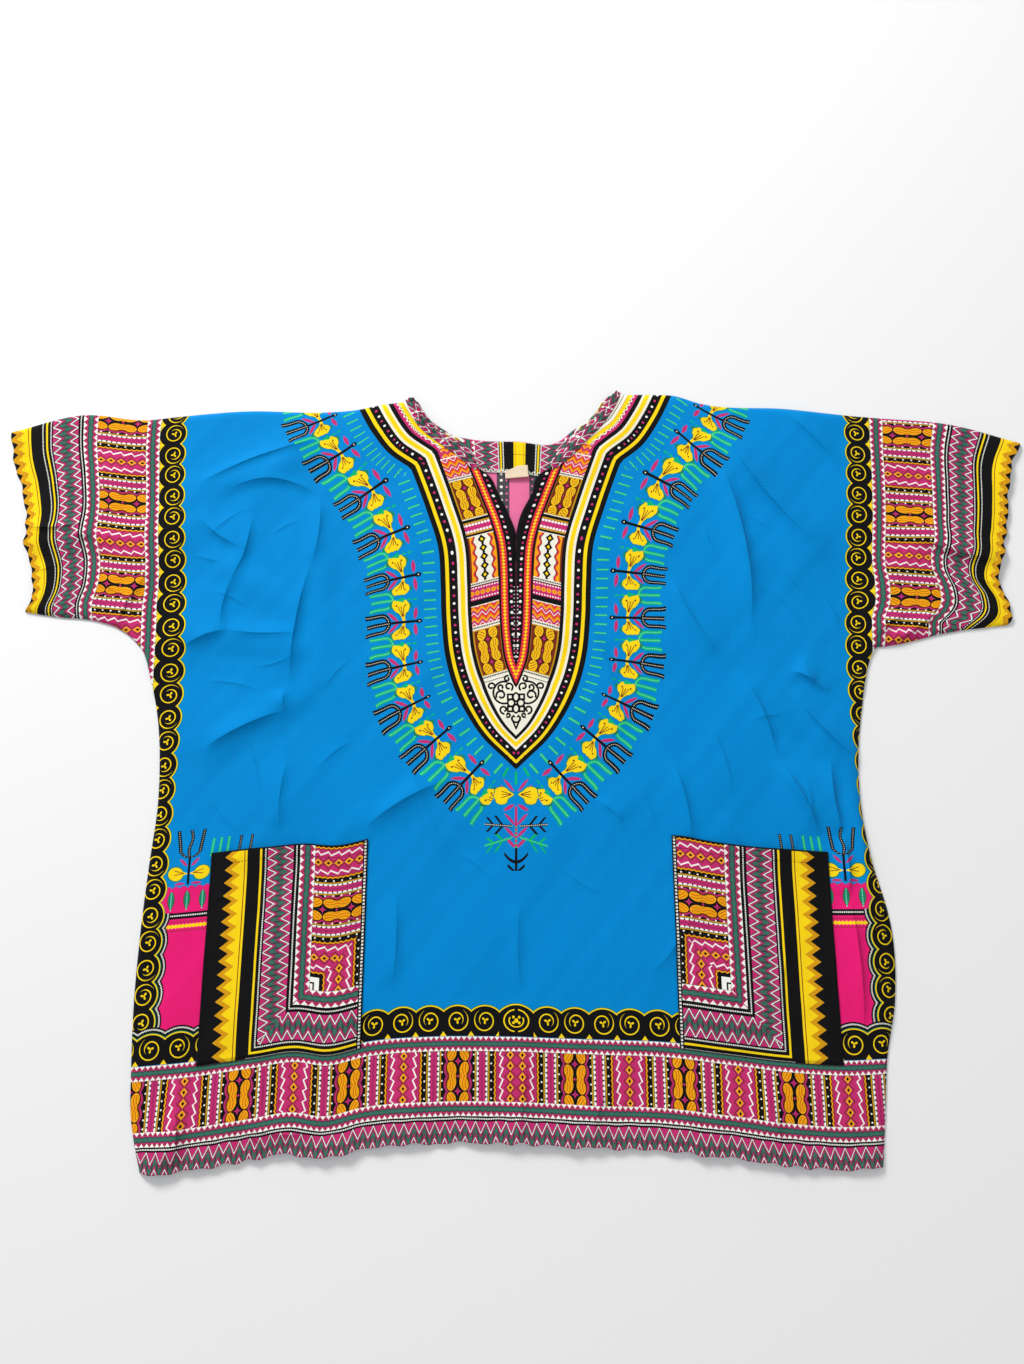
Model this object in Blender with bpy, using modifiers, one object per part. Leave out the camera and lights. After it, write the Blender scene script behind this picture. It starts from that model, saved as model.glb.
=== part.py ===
"""A dashiki shirt laid flat on a table: front, back, two patch pockets, neck facing and label.

The shirt lies in the XY plane with its neck towards +Y and its front facing up (+Z).
The back is a flat wall on the table. The front is a thin wall on top of it, raised in
its largest folds. Every piece is cut in cloth coordinates (out from the centre line,
up from the hem) and then laid, so that the edges droop and slant as the cloth does.
"""

import math

import bmesh
import bpy
from mathutils import Matrix, Vector

GARMENT = "dashiki_shirt"

# Cut of the cloth, metres
CUFF_OUT = 0.569        # centre line to cuff
LENGTH = 0.782          # hem to shoulder fold at the centre line
SLEEVE_ROOT = 0.360     # from here out a sleeve slants towards its cuff
UNDERARM_UP = 0.455     # height of the underarm above the hem
ARM_DROP = 0.240        # shoulder fold down to the foot of the cuff

# Walls and gaps, metres
WALL = 0.0015
GAP = 0.0003
FACING_WALL = 0.0012
LABEL_WALL = 0.0010
TABLE = 0.0

# How the cloth lies. Heights are along Y with the origin under the middle of the shirt.
SHOULDER_SPREAD = 0.026  # widening at the shoulder fold, as a share of the width
BODY_SQUEEZE = 0.034     # narrowing from the underarm down
CUFF_CROWDING = 0.30     # how far the foot of a sleeve is crowded towards its cuff

# Shoulder fold: distance out, Y on the left, Y on the right
SHOULDER_FOLD = (
    (0.000, 0.401, 0.401),
    (0.120, 0.400, 0.409),
    (0.150, 0.396, 0.409),
    (0.175, 0.390, 0.408),
    (0.205, 0.387, 0.398),
    (0.300, 0.388, 0.391),
    (0.375, 0.381, 0.382),
    (0.410, 0.377, 0.379),
    (0.490, 0.383, 0.371),
    (0.569, 0.362, 0.348),
)

# Hem: distance out, Y on the left, Y on the right
HEM_EDGE = (
    (0.000, -0.381, -0.381),
    (0.075, -0.381, -0.385),
    (0.150, -0.386, -0.388),
    (0.190, -0.394, -0.392),
    (0.220, -0.390, -0.395),
    (0.260, -0.396, -0.400),
    (0.320, -0.405, -0.404),
    (0.380, -0.410, -0.401),
)

# Side seams: height above the hem, distance out on the left, on the right
SIDE_SEAM = (
    (0.000, 0.353, 0.344),
    (0.050, 0.366, 0.351),
    (0.095, 0.370, 0.357),
    (0.150, 0.373, 0.370),
    (0.215, 0.373, 0.373),
    (0.290, 0.370, 0.358),
    (0.340, 0.367, 0.353),
    (0.400, 0.370, 0.356),
    (0.455, 0.378, 0.366),
)

# Foot of the left sleeve and of the right: distance out, Y
SLEEVE_FOOT = {
    -1: (
        (0.391, 0.050),
        (0.396, 0.072),
        (0.403, 0.097),
        (0.415, 0.114),
        (0.435, 0.129),
        (0.461, 0.137),
        (0.514, 0.142),
        (0.569, 0.148),
    ),
    1: (
        (0.379, 0.055),
        (0.385, 0.080),
        (0.395, 0.104),
        (0.410, 0.109),
        (0.430, 0.112),
        (0.483, 0.122),
        (0.530, 0.128),
        (0.569, 0.133),
    ),
}

# Cuff: share of the way down, distance out on the left, on the right
CUFF_LINE = (
    (0.00, 0.569, 0.569),
    (0.15, 0.562, 0.552),
    (0.30, 0.549, 0.546),
    (0.45, 0.539, 0.540),
    (0.60, 0.536, 0.531),
    (0.74, 0.524, 0.523),
    (0.84, 0.523, 0.533),
    (0.93, 0.529, 0.528),
    (1.00, 0.526, 0.503),
)

# Largest folds: start X, Y, end X, Y, height and half width
FOLDS = (
    (-0.360, 0.285, -0.222, 0.338, 0.0060, 0.024),
    (-0.322, 0.205, -0.252, 0.155, 0.0065, 0.026),
    (-0.214, 0.262, -0.206, 0.075, 0.0045, 0.024),
    (-0.345, 0.125, -0.215, 0.105, 0.0060, 0.026),
    (-0.322, -0.005, -0.225, 0.055, 0.0060, 0.026),
    (-0.160, -0.085, -0.078, -0.035, 0.0045, 0.024),
    (0.232, 0.345, 0.330, 0.222, 0.0065, 0.026),
    (0.232, 0.300, 0.262, 0.130, 0.0055, 0.024),
    (0.262, 0.062, 0.352, -0.022, 0.0060, 0.026),
    (0.278, -0.012, 0.322, -0.085, 0.0070, 0.024),
    (0.345, -0.030, 0.352, -0.280, 0.0080, 0.024),
    (0.172, 0.190, 0.218, 0.105, 0.0045, 0.024),
    (-0.560, 0.226, -0.420, 0.236, 0.0065, 0.024),
    (0.420, 0.250, 0.540, 0.206, 0.0065, 0.024),
    (-0.330, -0.400, -0.322, -0.330, 0.0055, 0.022),
)

# Neck edge of the back, from one shoulder to the other: X, Y
BACK_NECK = (
    (-0.123, 0.404),
    (-0.110, 0.393),
    (-0.102, 0.374),
    (-0.088, 0.365),
    (-0.052, 0.354),
    (0.000, 0.351),
    (0.052, 0.353),
    (0.064, 0.364),
    (0.086, 0.382),
    (0.096, 0.397),
    (0.116, 0.413),
)

# Neck edge of the front, from one shoulder down to the slit's foot and up again: X, Y
FRONT_NECK = (
    (-0.1225, 0.404),
    (-0.104, 0.366),
    (-0.086, 0.350),
    (-0.0610, 0.332),
    (-0.0480, 0.320),
    (-0.0340, 0.311),
    (-0.0195, 0.285),
    (-0.0074, 0.259),
    (-0.0010, 0.242),
    (0.0010, 0.242),
    (0.0051, 0.259),
    (0.0178, 0.285),
    (0.0295, 0.311),
    (0.0450, 0.320),
    (0.0620, 0.335),
    (0.092, 0.368),
    (0.1175, 0.413),
)

FACING_DEPTH = 0.038
FACING_INSET = 0.0010

# Pockets: left edge and right edge along the cloth
POCKETS = (
    ("pocket_left", -0.318, -0.155),
    ("pocket_right", 0.163, 0.325),
)
POCKET_FOOT = 0.091
POCKET_TOP = 0.291

LABEL_CENTRE = (0.001, 0.3120)
LABEL_SIZE = (0.026, 0.015)
LABEL_TURN = math.radians(4.0)

# Cells of the folded front: across the seam allowance, a pocket, the middle and a sleeve,
# and up to the pockets, over them, on to the underarm and on to the shoulder fold
EDGE_COLUMNS = 2
POCKET_COLUMNS = 9
MIDDLE_COLUMNS = 16
SLEEVE_COLUMNS = 10
FOOT_ROWS = 4
POCKET_ROWS = 11
CHEST_ROWS = 9
SLEEVE_ROWS = 14
CUTTER_REACH = 0.2

CLOTHS = {
    "front": (0.004, 0.240, 0.610),
    "back": (0.004, 0.240, 0.610),
    "pocket_left": (0.600, 0.150, 0.260),
    "pocket_right": (0.600, 0.150, 0.260),
    "neck_facing": (0.420, 0.300, 0.240),
    "label": (0.800, 0.720, 0.560),
}
CLOTH_ROUGHNESS = 0.85


def blend(share):
    """Ease a share from 0 to 1."""
    share = min(max(share, 0.0), 1.0)
    return share * share * (3.0 - 2.0 * share)


def read_table(table, at, column):
    """Read one column of a table at a place between its rows, with straight runs."""
    if at <= table[0][0]:
        return table[0][column]
    for lower, upper in zip(table, table[1:]):
        if at <= upper[0]:
            share = (at - lower[0]) / (upper[0] - lower[0])
            return lower[column] + share * (upper[column] - lower[column])
    return table[-1][column]


def side_column(out):
    """Column of a left and right table for a signed distance out."""
    return 1 if out < 0.0 else 2


def fold_y(out):
    """Y of the shoulder fold at a signed distance out in the cloth."""
    return read_table(SHOULDER_FOLD, abs(out), side_column(out))


def width_share(up):
    """How wide the laid cloth is at a height, as a share of its cut width."""
    down = blend((LENGTH - up) / (LENGTH - UNDERARM_UP))
    return 1.0 + SHOULDER_SPREAD - (SHOULDER_SPREAD + BODY_SQUEEZE) * down


def lay(out, up):
    """Place a point of the cloth on the table, from distance out and height above the hem."""
    column = side_column(out)
    side = -1.0 if out < 0.0 else 1.0
    reach = abs(out)
    top = fold_y(out)
    hem = read_table(HEM_EDGE, reach, column)
    y = top - (LENGTH - up) * (top - hem) / LENGTH
    x = reach * width_share(up)
    if reach > SLEEVE_ROOT and up > UNDERARM_UP:
        cuff_out = read_table(CUFF_LINE, (LENGTH - up) / ARM_DROP, column)
        root_x = SLEEVE_ROOT * width_share(up)
        share = (reach - SLEEVE_ROOT) / (CUFF_OUT - SLEEVE_ROOT)
        share += CUFF_CROWDING * min((LENGTH - up) / ARM_DROP, 1.0) * share * (1.0 - share)
        x = root_x + share * (cuff_out - root_x)
    return side * x, y


def seam_out(up, side):
    """Distance out in the cloth at which a side seam is cut."""
    column = 1 if side < 0 else 2
    return read_table(SIDE_SEAM, up, column) / width_share(up)


def sleeve_foot_up(out):
    """Height in the cloth at which a sleeve's lower edge is cut."""
    top = fold_y(out)
    hem = read_table(HEM_EDGE, abs(out), side_column(out))
    foot = read_table(SLEEVE_FOOT[-1 if out < 0.0 else 1], abs(out), 1)
    return LENGTH - (top - foot) * LENGTH / (top - hem)


def fold_height(x, y):
    """Height of the front above its bed, from the largest folds."""
    height = 0.0
    for x0, y0, x1, y1, rise, half_width in FOLDS:
        along = Vector((x1 - x0, y1 - y0))
        reach = Vector((x - x0, y - y0))
        share = min(max(reach.dot(along) / along.length_squared, 0.0), 1.0)
        away = (reach - share * along).length / half_width
        if away < 1.0:
            taper = 1.0 - 0.55 * abs(2.0 * share - 1.0) ** 2
            height = max(height, rise * taper * (1.0 - blend(away)))
    return height


def facing_rise(x, y):
    """Extra height of the front's bed where the neck facing lies under it."""
    middle = read_table(BACK_NECK, x, 1)
    beyond = max(abs(x) - abs(BACK_NECK[0][0]), 0.0)
    away = math.hypot(max(middle - FACING_DEPTH - y, 0.0), beyond)
    return (FACING_WALL + GAP) * (1.0 - blend((away - 0.035) / 0.045))


def front_bed(x, y):
    """Underside of the front, which lies on the back and on the facing."""
    return TABLE + WALL + GAP + facing_rise(x, y) + fold_height(x, y)


def make_object(name, mesh, collection):
    """Add a named object with its own cloth material to a collection."""
    material = bpy.data.materials.new(name + "_cloth")
    material.use_nodes = True
    shader = material.node_tree.nodes["Principled BSDF"]
    shader.inputs["Base Color"].default_value = (*CLOTHS[name], 1.0)
    shader.inputs["Roughness"].default_value = CLOTH_ROUGHNESS
    shader.inputs["Metallic"].default_value = 0.0
    mesh.materials.append(material)
    piece = bpy.data.objects.new(name, mesh)
    collection.objects.link(piece)
    return piece


def thicken(piece, wall):
    """Give an open sheet its wall, upwards from its underside."""
    solid = piece.modifiers.new("wall", "SOLIDIFY")
    solid.thickness = wall
    solid.offset = 1.0
    solid.use_even_offset = False
    solid.use_quality_normals = True


def loft_strip(shape, rows):
    """Join rows of points, all of one length, into a sheet of quads facing up."""
    lines = [[shape.verts.new(point) for point in row] for row in rows]
    for lower, upper in zip(lines, lines[1:]):
        for index in range(len(lower) - 1):
            shape.faces.new((lower[index], lower[index + 1], upper[index + 1], upper[index]))


def front_point(out, up):
    """A point of the front's underside."""
    x, y = lay(out, up)
    return x, y, front_bed(x, y)


def spread(first, last, count):
    """Evenly spaced values from first to last, count steps apart."""
    return [first + (last - first) * index / count for index in range(count + 1)]


def body_heights():
    """Heights of the body's rows, with one at the foot and one at the top of the pockets."""
    heights = spread(0.0, POCKET_FOOT, FOOT_ROWS)
    heights += spread(POCKET_FOOT, POCKET_TOP, POCKET_ROWS)[1:]
    heights += spread(POCKET_TOP, UNDERARM_UP, CHEST_ROWS)[1:]
    return heights + spread(UNDERARM_UP, LENGTH, SLEEVE_ROWS)[1:]


def body_outs(up):
    """Distances out of the body's columns at a height, with one at each edge of a pocket."""
    cut = min(up, UNDERARM_UP)
    left, right = POCKETS[0][1:], POCKETS[1][1:]
    outs = spread(-seam_out(cut, -1), left[0], EDGE_COLUMNS)
    outs += spread(left[0], left[1], POCKET_COLUMNS)[1:]
    outs += spread(left[1], right[0], MIDDLE_COLUMNS)[1:]
    outs += spread(right[0], right[1], POCKET_COLUMNS)[1:]
    return outs + spread(right[1], seam_out(cut, 1), EDGE_COLUMNS)[1:]


def body_rows():
    """Rows of the front's body, from the hem to the shoulder fold."""
    return [[front_point(out, up) for out in body_outs(up)] for up in body_heights()]


def sleeve_rows(side):
    """Rows of one sleeve, from its lower edge to the shoulder fold, left to right."""
    root = seam_out(UNDERARM_UP, side)
    rows = []
    for share in spread(0.0, 1.0, SLEEVE_ROWS):
        row = []
        for reach in spread(root, CUFF_OUT, SLEEVE_COLUMNS):
            out = side * reach
            foot = UNDERARM_UP if reach == root else sleeve_foot_up(out)
            up = foot + share * (LENGTH - foot)
            row.append(front_point(out, up))
        rows.append(row[::-1] if side < 0 else row)
    return rows


def make_front(collection):
    """The folded front, before its neck is cut."""
    shape = bmesh.new()
    loft_strip(shape, body_rows())
    loft_strip(shape, sleeve_rows(-1))
    loft_strip(shape, sleeve_rows(1))
    bmesh.ops.remove_doubles(shape, verts=shape.verts, dist=0.00005)
    mesh = bpy.data.meshes.new("front")
    shape.to_mesh(mesh)
    shape.free()
    piece = make_object("front", mesh, collection)
    thicken(piece, WALL)
    return piece


def outline_points():
    """Outline of the shirt as laid, once round from the left of the hem."""
    points = [lay(out, 0.0) for out in spread(-seam_out(0.0, -1), seam_out(0.0, 1), 16)]
    points += [lay(seam_out(row[0], 1), row[0]) for row in SIDE_SEAM[1:]]
    points += [lay(row[0], sleeve_foot_up(row[0])) for row in SLEEVE_FOOT[1][1:]]
    points += [lay(CUFF_OUT, LENGTH - row[0] * cuff_drop(1)) for row in CUFF_LINE[-2::-1]]
    points += [lay(row[0], LENGTH) for row in SHOULDER_FOLD[-2:0:-1]]
    points += list(BACK_NECK[-2:0:-1])
    points += [lay(-row[0], LENGTH) for row in SHOULDER_FOLD[1:]]
    points += [lay(-CUFF_OUT, LENGTH - row[0] * cuff_drop(-1)) for row in CUFF_LINE[1:]]
    points += [lay(-row[0], sleeve_foot_up(-row[0])) for row in SLEEVE_FOOT[-1][-2:0:-1]]
    points += [lay(-seam_out(row[0], -1), row[0]) for row in SIDE_SEAM[:0:-1]]
    return points


def cuff_drop(side):
    """Length of the cuff in the cloth, from the shoulder fold to its lower corner."""
    return LENGTH - sleeve_foot_up(side * CUFF_OUT)


def flat_plate(name, points, bottom, wall, collection):
    """A flat piece of cloth: a filled 2D outline raised to its wall."""
    outline = bpy.data.curves.new(name + "_outline", "CURVE")
    outline.dimensions = "2D"
    outline.fill_mode = "BOTH"
    outline.extrude = wall / 2.0
    line = outline.splines.new("POLY")
    line.points.add(len(points) - 1)
    for spot, (x, y) in zip(line.points, points):
        spot.co = (x, y, 0.0, 1.0)
    line.use_cyclic_u = True
    drawn = bpy.data.objects.new(name + "_drawn", outline)
    drawn.location.z = bottom + wall / 2.0
    collection.objects.link(drawn)
    bpy.context.view_layer.update()
    graph = bpy.context.evaluated_depsgraph_get()
    mesh = bpy.data.meshes.new_from_object(drawn.evaluated_get(graph))
    mesh.transform(drawn.matrix_world)
    bpy.data.objects.remove(drawn)
    shape = bmesh.new()
    shape.from_mesh(mesh)
    bmesh.ops.remove_doubles(shape, verts=shape.verts, dist=0.00005)
    bmesh.ops.recalc_face_normals(shape, faces=shape.faces)
    shape.to_mesh(mesh)
    shape.free()
    mesh.name = name
    mesh.materials.clear()
    return make_object(name, mesh, collection)


def cut_neck(front, cutters):
    """Cut the front's neck curve and slit with a long upright cutter."""
    points = list(FRONT_NECK) + [(FRONT_NECK[-1][0], 0.5), (FRONT_NECK[0][0], 0.5)]
    cutter = bpy.data.objects.new("neck_cutter", bpy.data.meshes.new("neck_cutter"))
    shape = bmesh.new()
    floor = shape.faces.new([shape.verts.new((x, y, -CUTTER_REACH / 2.0)) for x, y in points])
    wall = bmesh.ops.extrude_face_region(shape, geom=[floor])
    raised = [item for item in wall["geom"] if isinstance(item, bmesh.types.BMVert)]
    bmesh.ops.translate(shape, verts=raised, vec=(0.0, 0.0, CUTTER_REACH))
    bmesh.ops.recalc_face_normals(shape, faces=shape.faces)
    shape.to_mesh(cutter.data)
    shape.free()
    cutter.hide_render = True
    cutter.display_type = "WIRE"
    cutters.objects.link(cutter)
    cut = front.modifiers.new("neck", "BOOLEAN")
    cut.operation = "DIFFERENCE"
    cut.solver = "EXACT"
    cut.object = cutter


def make_facing(collection):
    """The facing: a strip that follows the back's neck edge."""
    shape = bmesh.new()
    bottom = TABLE + WALL + GAP
    upper = []
    lower = []
    for index, (x, y) in enumerate(BACK_NECK[1:-1]):
        before = Vector(BACK_NECK[index])
        after = Vector(BACK_NECK[index + 2])
        run = (after - before).normalized()
        inward = Vector((run.y, -run.x))
        edge = Vector((x, y)) + FACING_INSET * inward
        far = Vector((x * 0.93, y - FACING_DEPTH))
        upper.append((edge.x, edge.y, bottom))
        lower.append((far.x, far.y, bottom))
    loft_strip(shape, [lower, upper])
    mesh = bpy.data.meshes.new("neck_facing")
    shape.to_mesh(mesh)
    shape.free()
    piece = make_object("neck_facing", mesh, collection)
    thicken(piece, FACING_WALL)


def make_label(collection):
    """The blank label: a small tab on the facing."""
    half_x, half_y = LABEL_SIZE[0] / 2.0, LABEL_SIZE[1] / 2.0
    points = []
    for x, y in ((-half_x, -half_y), (half_x, -half_y), (half_x, half_y), (-half_x, half_y)):
        turned = Vector((x, y))
        turned.rotate(Matrix.Rotation(LABEL_TURN, 2))
        points.append((turned.x + LABEL_CENTRE[0], turned.y + LABEL_CENTRE[1]))
    bottom = TABLE + WALL + FACING_WALL + 2.0 * GAP
    flat_plate("label", points, bottom, LABEL_WALL, collection)


def make_pocket(name, left, right, collection):
    """A patch pocket: a sheet on the front's own points, moved out."""
    shape = bmesh.new()
    rows = []
    for up in spread(POCKET_FOOT, POCKET_TOP, POCKET_ROWS):
        row = [front_point(out, up) for out in spread(left, right, POCKET_COLUMNS)]
        rows.append([(x, y, z + WALL + GAP) for x, y, z in row])
    loft_strip(shape, rows)
    mesh = bpy.data.meshes.new(name)
    shape.to_mesh(mesh)
    shape.free()
    piece = make_object(name, mesh, collection)
    thicken(piece, WALL)


def main():
    """Build the whole shirt."""
    for item in list(bpy.data.objects):
        bpy.data.objects.remove(item)
    garment = bpy.data.collections.new(GARMENT)
    cutters = bpy.data.collections.new(GARMENT + "_cutters")
    bpy.context.scene.collection.children.link(garment)
    bpy.context.scene.collection.children.link(cutters)
    flat_plate("back", outline_points(), TABLE, WALL, garment)
    front = make_front(garment)
    cut_neck(front, cutters)
    make_facing(garment)
    make_label(garment)
    for name, left, right in POCKETS:
        make_pocket(name, left, right, garment)


main()
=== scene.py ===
"""Finish of a dashiki shirt laid flat: folded cotton, wax print, hems, facing and blank label."""

import logging
import math
from collections.abc import Sequence
from dataclasses import dataclass
from enum import Enum, IntEnum
from typing import Protocol

import bmesh
import bpy
import numpy as np
from mathutils import Matrix, Vector


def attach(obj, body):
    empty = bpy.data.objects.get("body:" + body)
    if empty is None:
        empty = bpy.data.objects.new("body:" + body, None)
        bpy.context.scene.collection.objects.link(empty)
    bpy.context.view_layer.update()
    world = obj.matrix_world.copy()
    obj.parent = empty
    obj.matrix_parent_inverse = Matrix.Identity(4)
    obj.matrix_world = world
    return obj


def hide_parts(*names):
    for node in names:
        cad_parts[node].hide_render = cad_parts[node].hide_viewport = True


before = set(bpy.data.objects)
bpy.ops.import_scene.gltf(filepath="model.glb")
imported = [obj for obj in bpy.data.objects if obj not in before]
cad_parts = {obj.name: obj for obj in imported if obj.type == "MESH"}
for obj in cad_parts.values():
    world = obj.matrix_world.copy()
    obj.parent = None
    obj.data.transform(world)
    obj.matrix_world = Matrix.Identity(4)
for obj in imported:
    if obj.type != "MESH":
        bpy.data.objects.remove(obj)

LOG = logging.getLogger("dashiki")
MM_PER_METRE = 1000.0
BODY = "root"

Array = np.ndarray
Table = tuple[tuple[float, ...], ...]
Colour = tuple[float, float, float]


# ---------------------------------------------------------------------------
# Cut and lay of the cloth
# ---------------------------------------------------------------------------


def read_smooth(table: Table, at: Array, column: int) -> Array:
    """Read one column of a table along a soft curve through its rows.

    Args:
        table: Rows in rising order of their first column.
        at: Places to read at.
        column: Which column to read.

    Returns:
        The column's value at each place, held at the end rows beyond them.
    """
    places = np.array([row[0] for row in table])
    values = np.array([row[column] for row in table])
    slopes = np.gradient(values, places)
    at = np.clip(at, places[0], places[-1])
    left = np.clip(np.searchsorted(places, at, side="right") - 1, 0, len(places) - 2)
    run = places[left + 1] - places[left]
    t = (at - places[left]) / run
    start = values[left] * (1 + 2 * t) * (1 - t) ** 2 + slopes[left] * run * t * (1 - t) ** 2
    end = values[left + 1] * t * t * (3 - 2 * t) + slopes[left + 1] * run * t * t * (t - 1)
    return start + end


def ease(share: Array) -> Array:
    """Ease a share from 0 to 1."""
    share = np.clip(share, 0.0, 1.0)
    return share * share * (3.0 - 2.0 * share)


@dataclass(frozen=True)
class Lay:
    """How the flat cut lies on the table, in cloth coordinates: out from the middle, up from the hem."""

    cuff_out: float = 0.569
    length: float = 0.782
    sleeve_root: float = 0.360
    underarm_up: float = 0.455
    arm_drop: float = 0.240
    shoulder_spread: float = 0.026
    body_squeeze: float = 0.034
    cuff_crowding: float = 0.30
    # distance out, Y on the left, Y on the right
    shoulder_fold: Table = (
        (0.0, 0.401, 0.401), (0.12, 0.4, 0.409), (0.15, 0.396, 0.409), (0.175, 0.39, 0.408),
        (0.205, 0.387, 0.398), (0.3, 0.388, 0.391), (0.375, 0.381, 0.382), (0.41, 0.377, 0.379),
        (0.49, 0.383, 0.371), (0.569, 0.362, 0.348),
    )
    # distance out, Y on the left, Y on the right
    hem_edge: Table = (
        (0.0, -0.381, -0.381), (0.075, -0.381, -0.385), (0.15, -0.386, -0.388), (0.19, -0.394, -0.392),
        (0.22, -0.39, -0.395), (0.26, -0.396, -0.4), (0.32, -0.405, -0.404), (0.38, -0.41, -0.401),
    )
    # height above the hem, distance out on the left, on the right
    side_seam: Table = (
        (0.0, 0.353, 0.344), (0.05, 0.366, 0.351), (0.095, 0.37, 0.357), (0.15, 0.373, 0.37),
        (0.215, 0.373, 0.373), (0.29, 0.37, 0.358), (0.34, 0.367, 0.353), (0.4, 0.37, 0.356),
        (0.455, 0.378, 0.366),
    )
    # distance out, Y
    left_sleeve_foot: Table = (
        (0.391, 0.05), (0.396, 0.072), (0.403, 0.097), (0.415, 0.114), (0.435, 0.129), (0.461, 0.137),
        (0.514, 0.142), (0.569, 0.148),
    )
    # distance out, Y
    right_sleeve_foot: Table = (
        (0.379, 0.055), (0.385, 0.08), (0.395, 0.104), (0.41, 0.109), (0.43, 0.112), (0.483, 0.122),
        (0.53, 0.128), (0.569, 0.133),
    )
    # share of the way down the cuff, distance out on the left, on the right
    cuff_line: Table = (
        (0.0, 0.569, 0.569), (0.15, 0.562, 0.552), (0.3, 0.549, 0.546), (0.45, 0.539, 0.54),
        (0.6, 0.536, 0.531), (0.74, 0.524, 0.523), (0.84, 0.523, 0.533), (0.93, 0.529, 0.528),
        (1.0, 0.526, 0.503),
    )

    def sided(self, table: Table, at: Array, out: Array) -> Array:
        """Read the left column where out is negative and the right one elsewhere."""
        return np.where(out < 0.0, read_smooth(table, at, 1), read_smooth(table, at, 2))

    def width_share(self, up: Array) -> Array:
        """How wide the laid cloth is at a height, as a share of its cut width."""
        down = ease((self.length - up) / (self.length - self.underarm_up))
        return 1.0 + self.shoulder_spread - (self.shoulder_spread + self.body_squeeze) * down

    def place(self, out: Array, up: Array) -> tuple[Array, Array]:
        """Lay points of the cloth on the table.

        Args:
            out: Signed distances out from the middle line of the cut.
            up: Heights above the hem of the cut.

        Returns:
            X and Y on the table.
        """
        reach = np.abs(out)
        top = self.sided(self.shoulder_fold, reach, out)
        hem = self.sided(self.hem_edge, reach, out)
        y = top - (self.length - up) * (top - hem) / self.length
        share_down = (self.length - up) / self.arm_drop
        cuff = self.sided(self.cuff_line, share_down, out)
        root = self.sleeve_root * self.width_share(up)
        share = (reach - self.sleeve_root) / (self.cuff_out - self.sleeve_root)
        share = share + self.cuff_crowding * np.clip(share_down, 0, 1) * share * (1.0 - share)
        on_body = reach * self.width_share(up)
        sleeve = np.where(reach > self.sleeve_root, ease((up - self.underarm_up) / 0.060 + 0.5), 0.0)
        x = on_body + sleeve * (root + share * (cuff - root) - on_body)
        y = y + self.ripple(out) * ease(1.0 - up / 0.030)
        x = x + self.ripple(up) * ease(1.0 - (self.cuff_out - reach) / 0.025)
        return np.sign(out) * x, y

    def ripple(self, along: Array) -> Array:
        """Small waves in the outline of a hemmed edge."""
        return 0.0011 * np.sin(190.0 * along + 1.7 * np.sin(47.0 * along)) + 0.0006 * np.sin(305.0 * along)

    def find(self, x: Array, y: Array) -> tuple[Array, Array]:
        """Find the point of the cut that lies at a place on the body.

        Args:
            x: X on the table.
            y: Y on the table.

        Returns:
            Distance out and height up in the cut.
        """
        out = np.array(x, dtype=float)
        up = np.array(y, dtype=float)
        for _ in range(4):
            top = self.sided(self.shoulder_fold, np.abs(out), out)
            hem = self.sided(self.hem_edge, np.abs(out), out)
            up = self.length - (top - y) * self.length / (top - hem)
            out = x / self.width_share(up)
        return out, up

    def seam_out(self, up: Array, side: int) -> Array:
        """Distance out in the cut of a side seam at each height."""
        column = 1 if side < 0 else 2
        return read_smooth(self.side_seam, up, column) / self.width_share(up)

    def foot_up(self, reach: Array, side: int) -> Array:
        """Height in the cut of a sleeve's lower edge at each distance out."""
        table = self.left_sleeve_foot if side < 0 else self.right_sleeve_foot
        out = side * reach
        top = self.sided(self.shoulder_fold, reach, out)
        hem = self.sided(self.hem_edge, reach, out)
        foot = read_smooth(table, reach, 1)
        return self.length - (top - foot) * self.length / (top - hem)


LAY = Lay()


# ---------------------------------------------------------------------------
# Folds and creases
# ---------------------------------------------------------------------------


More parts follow.
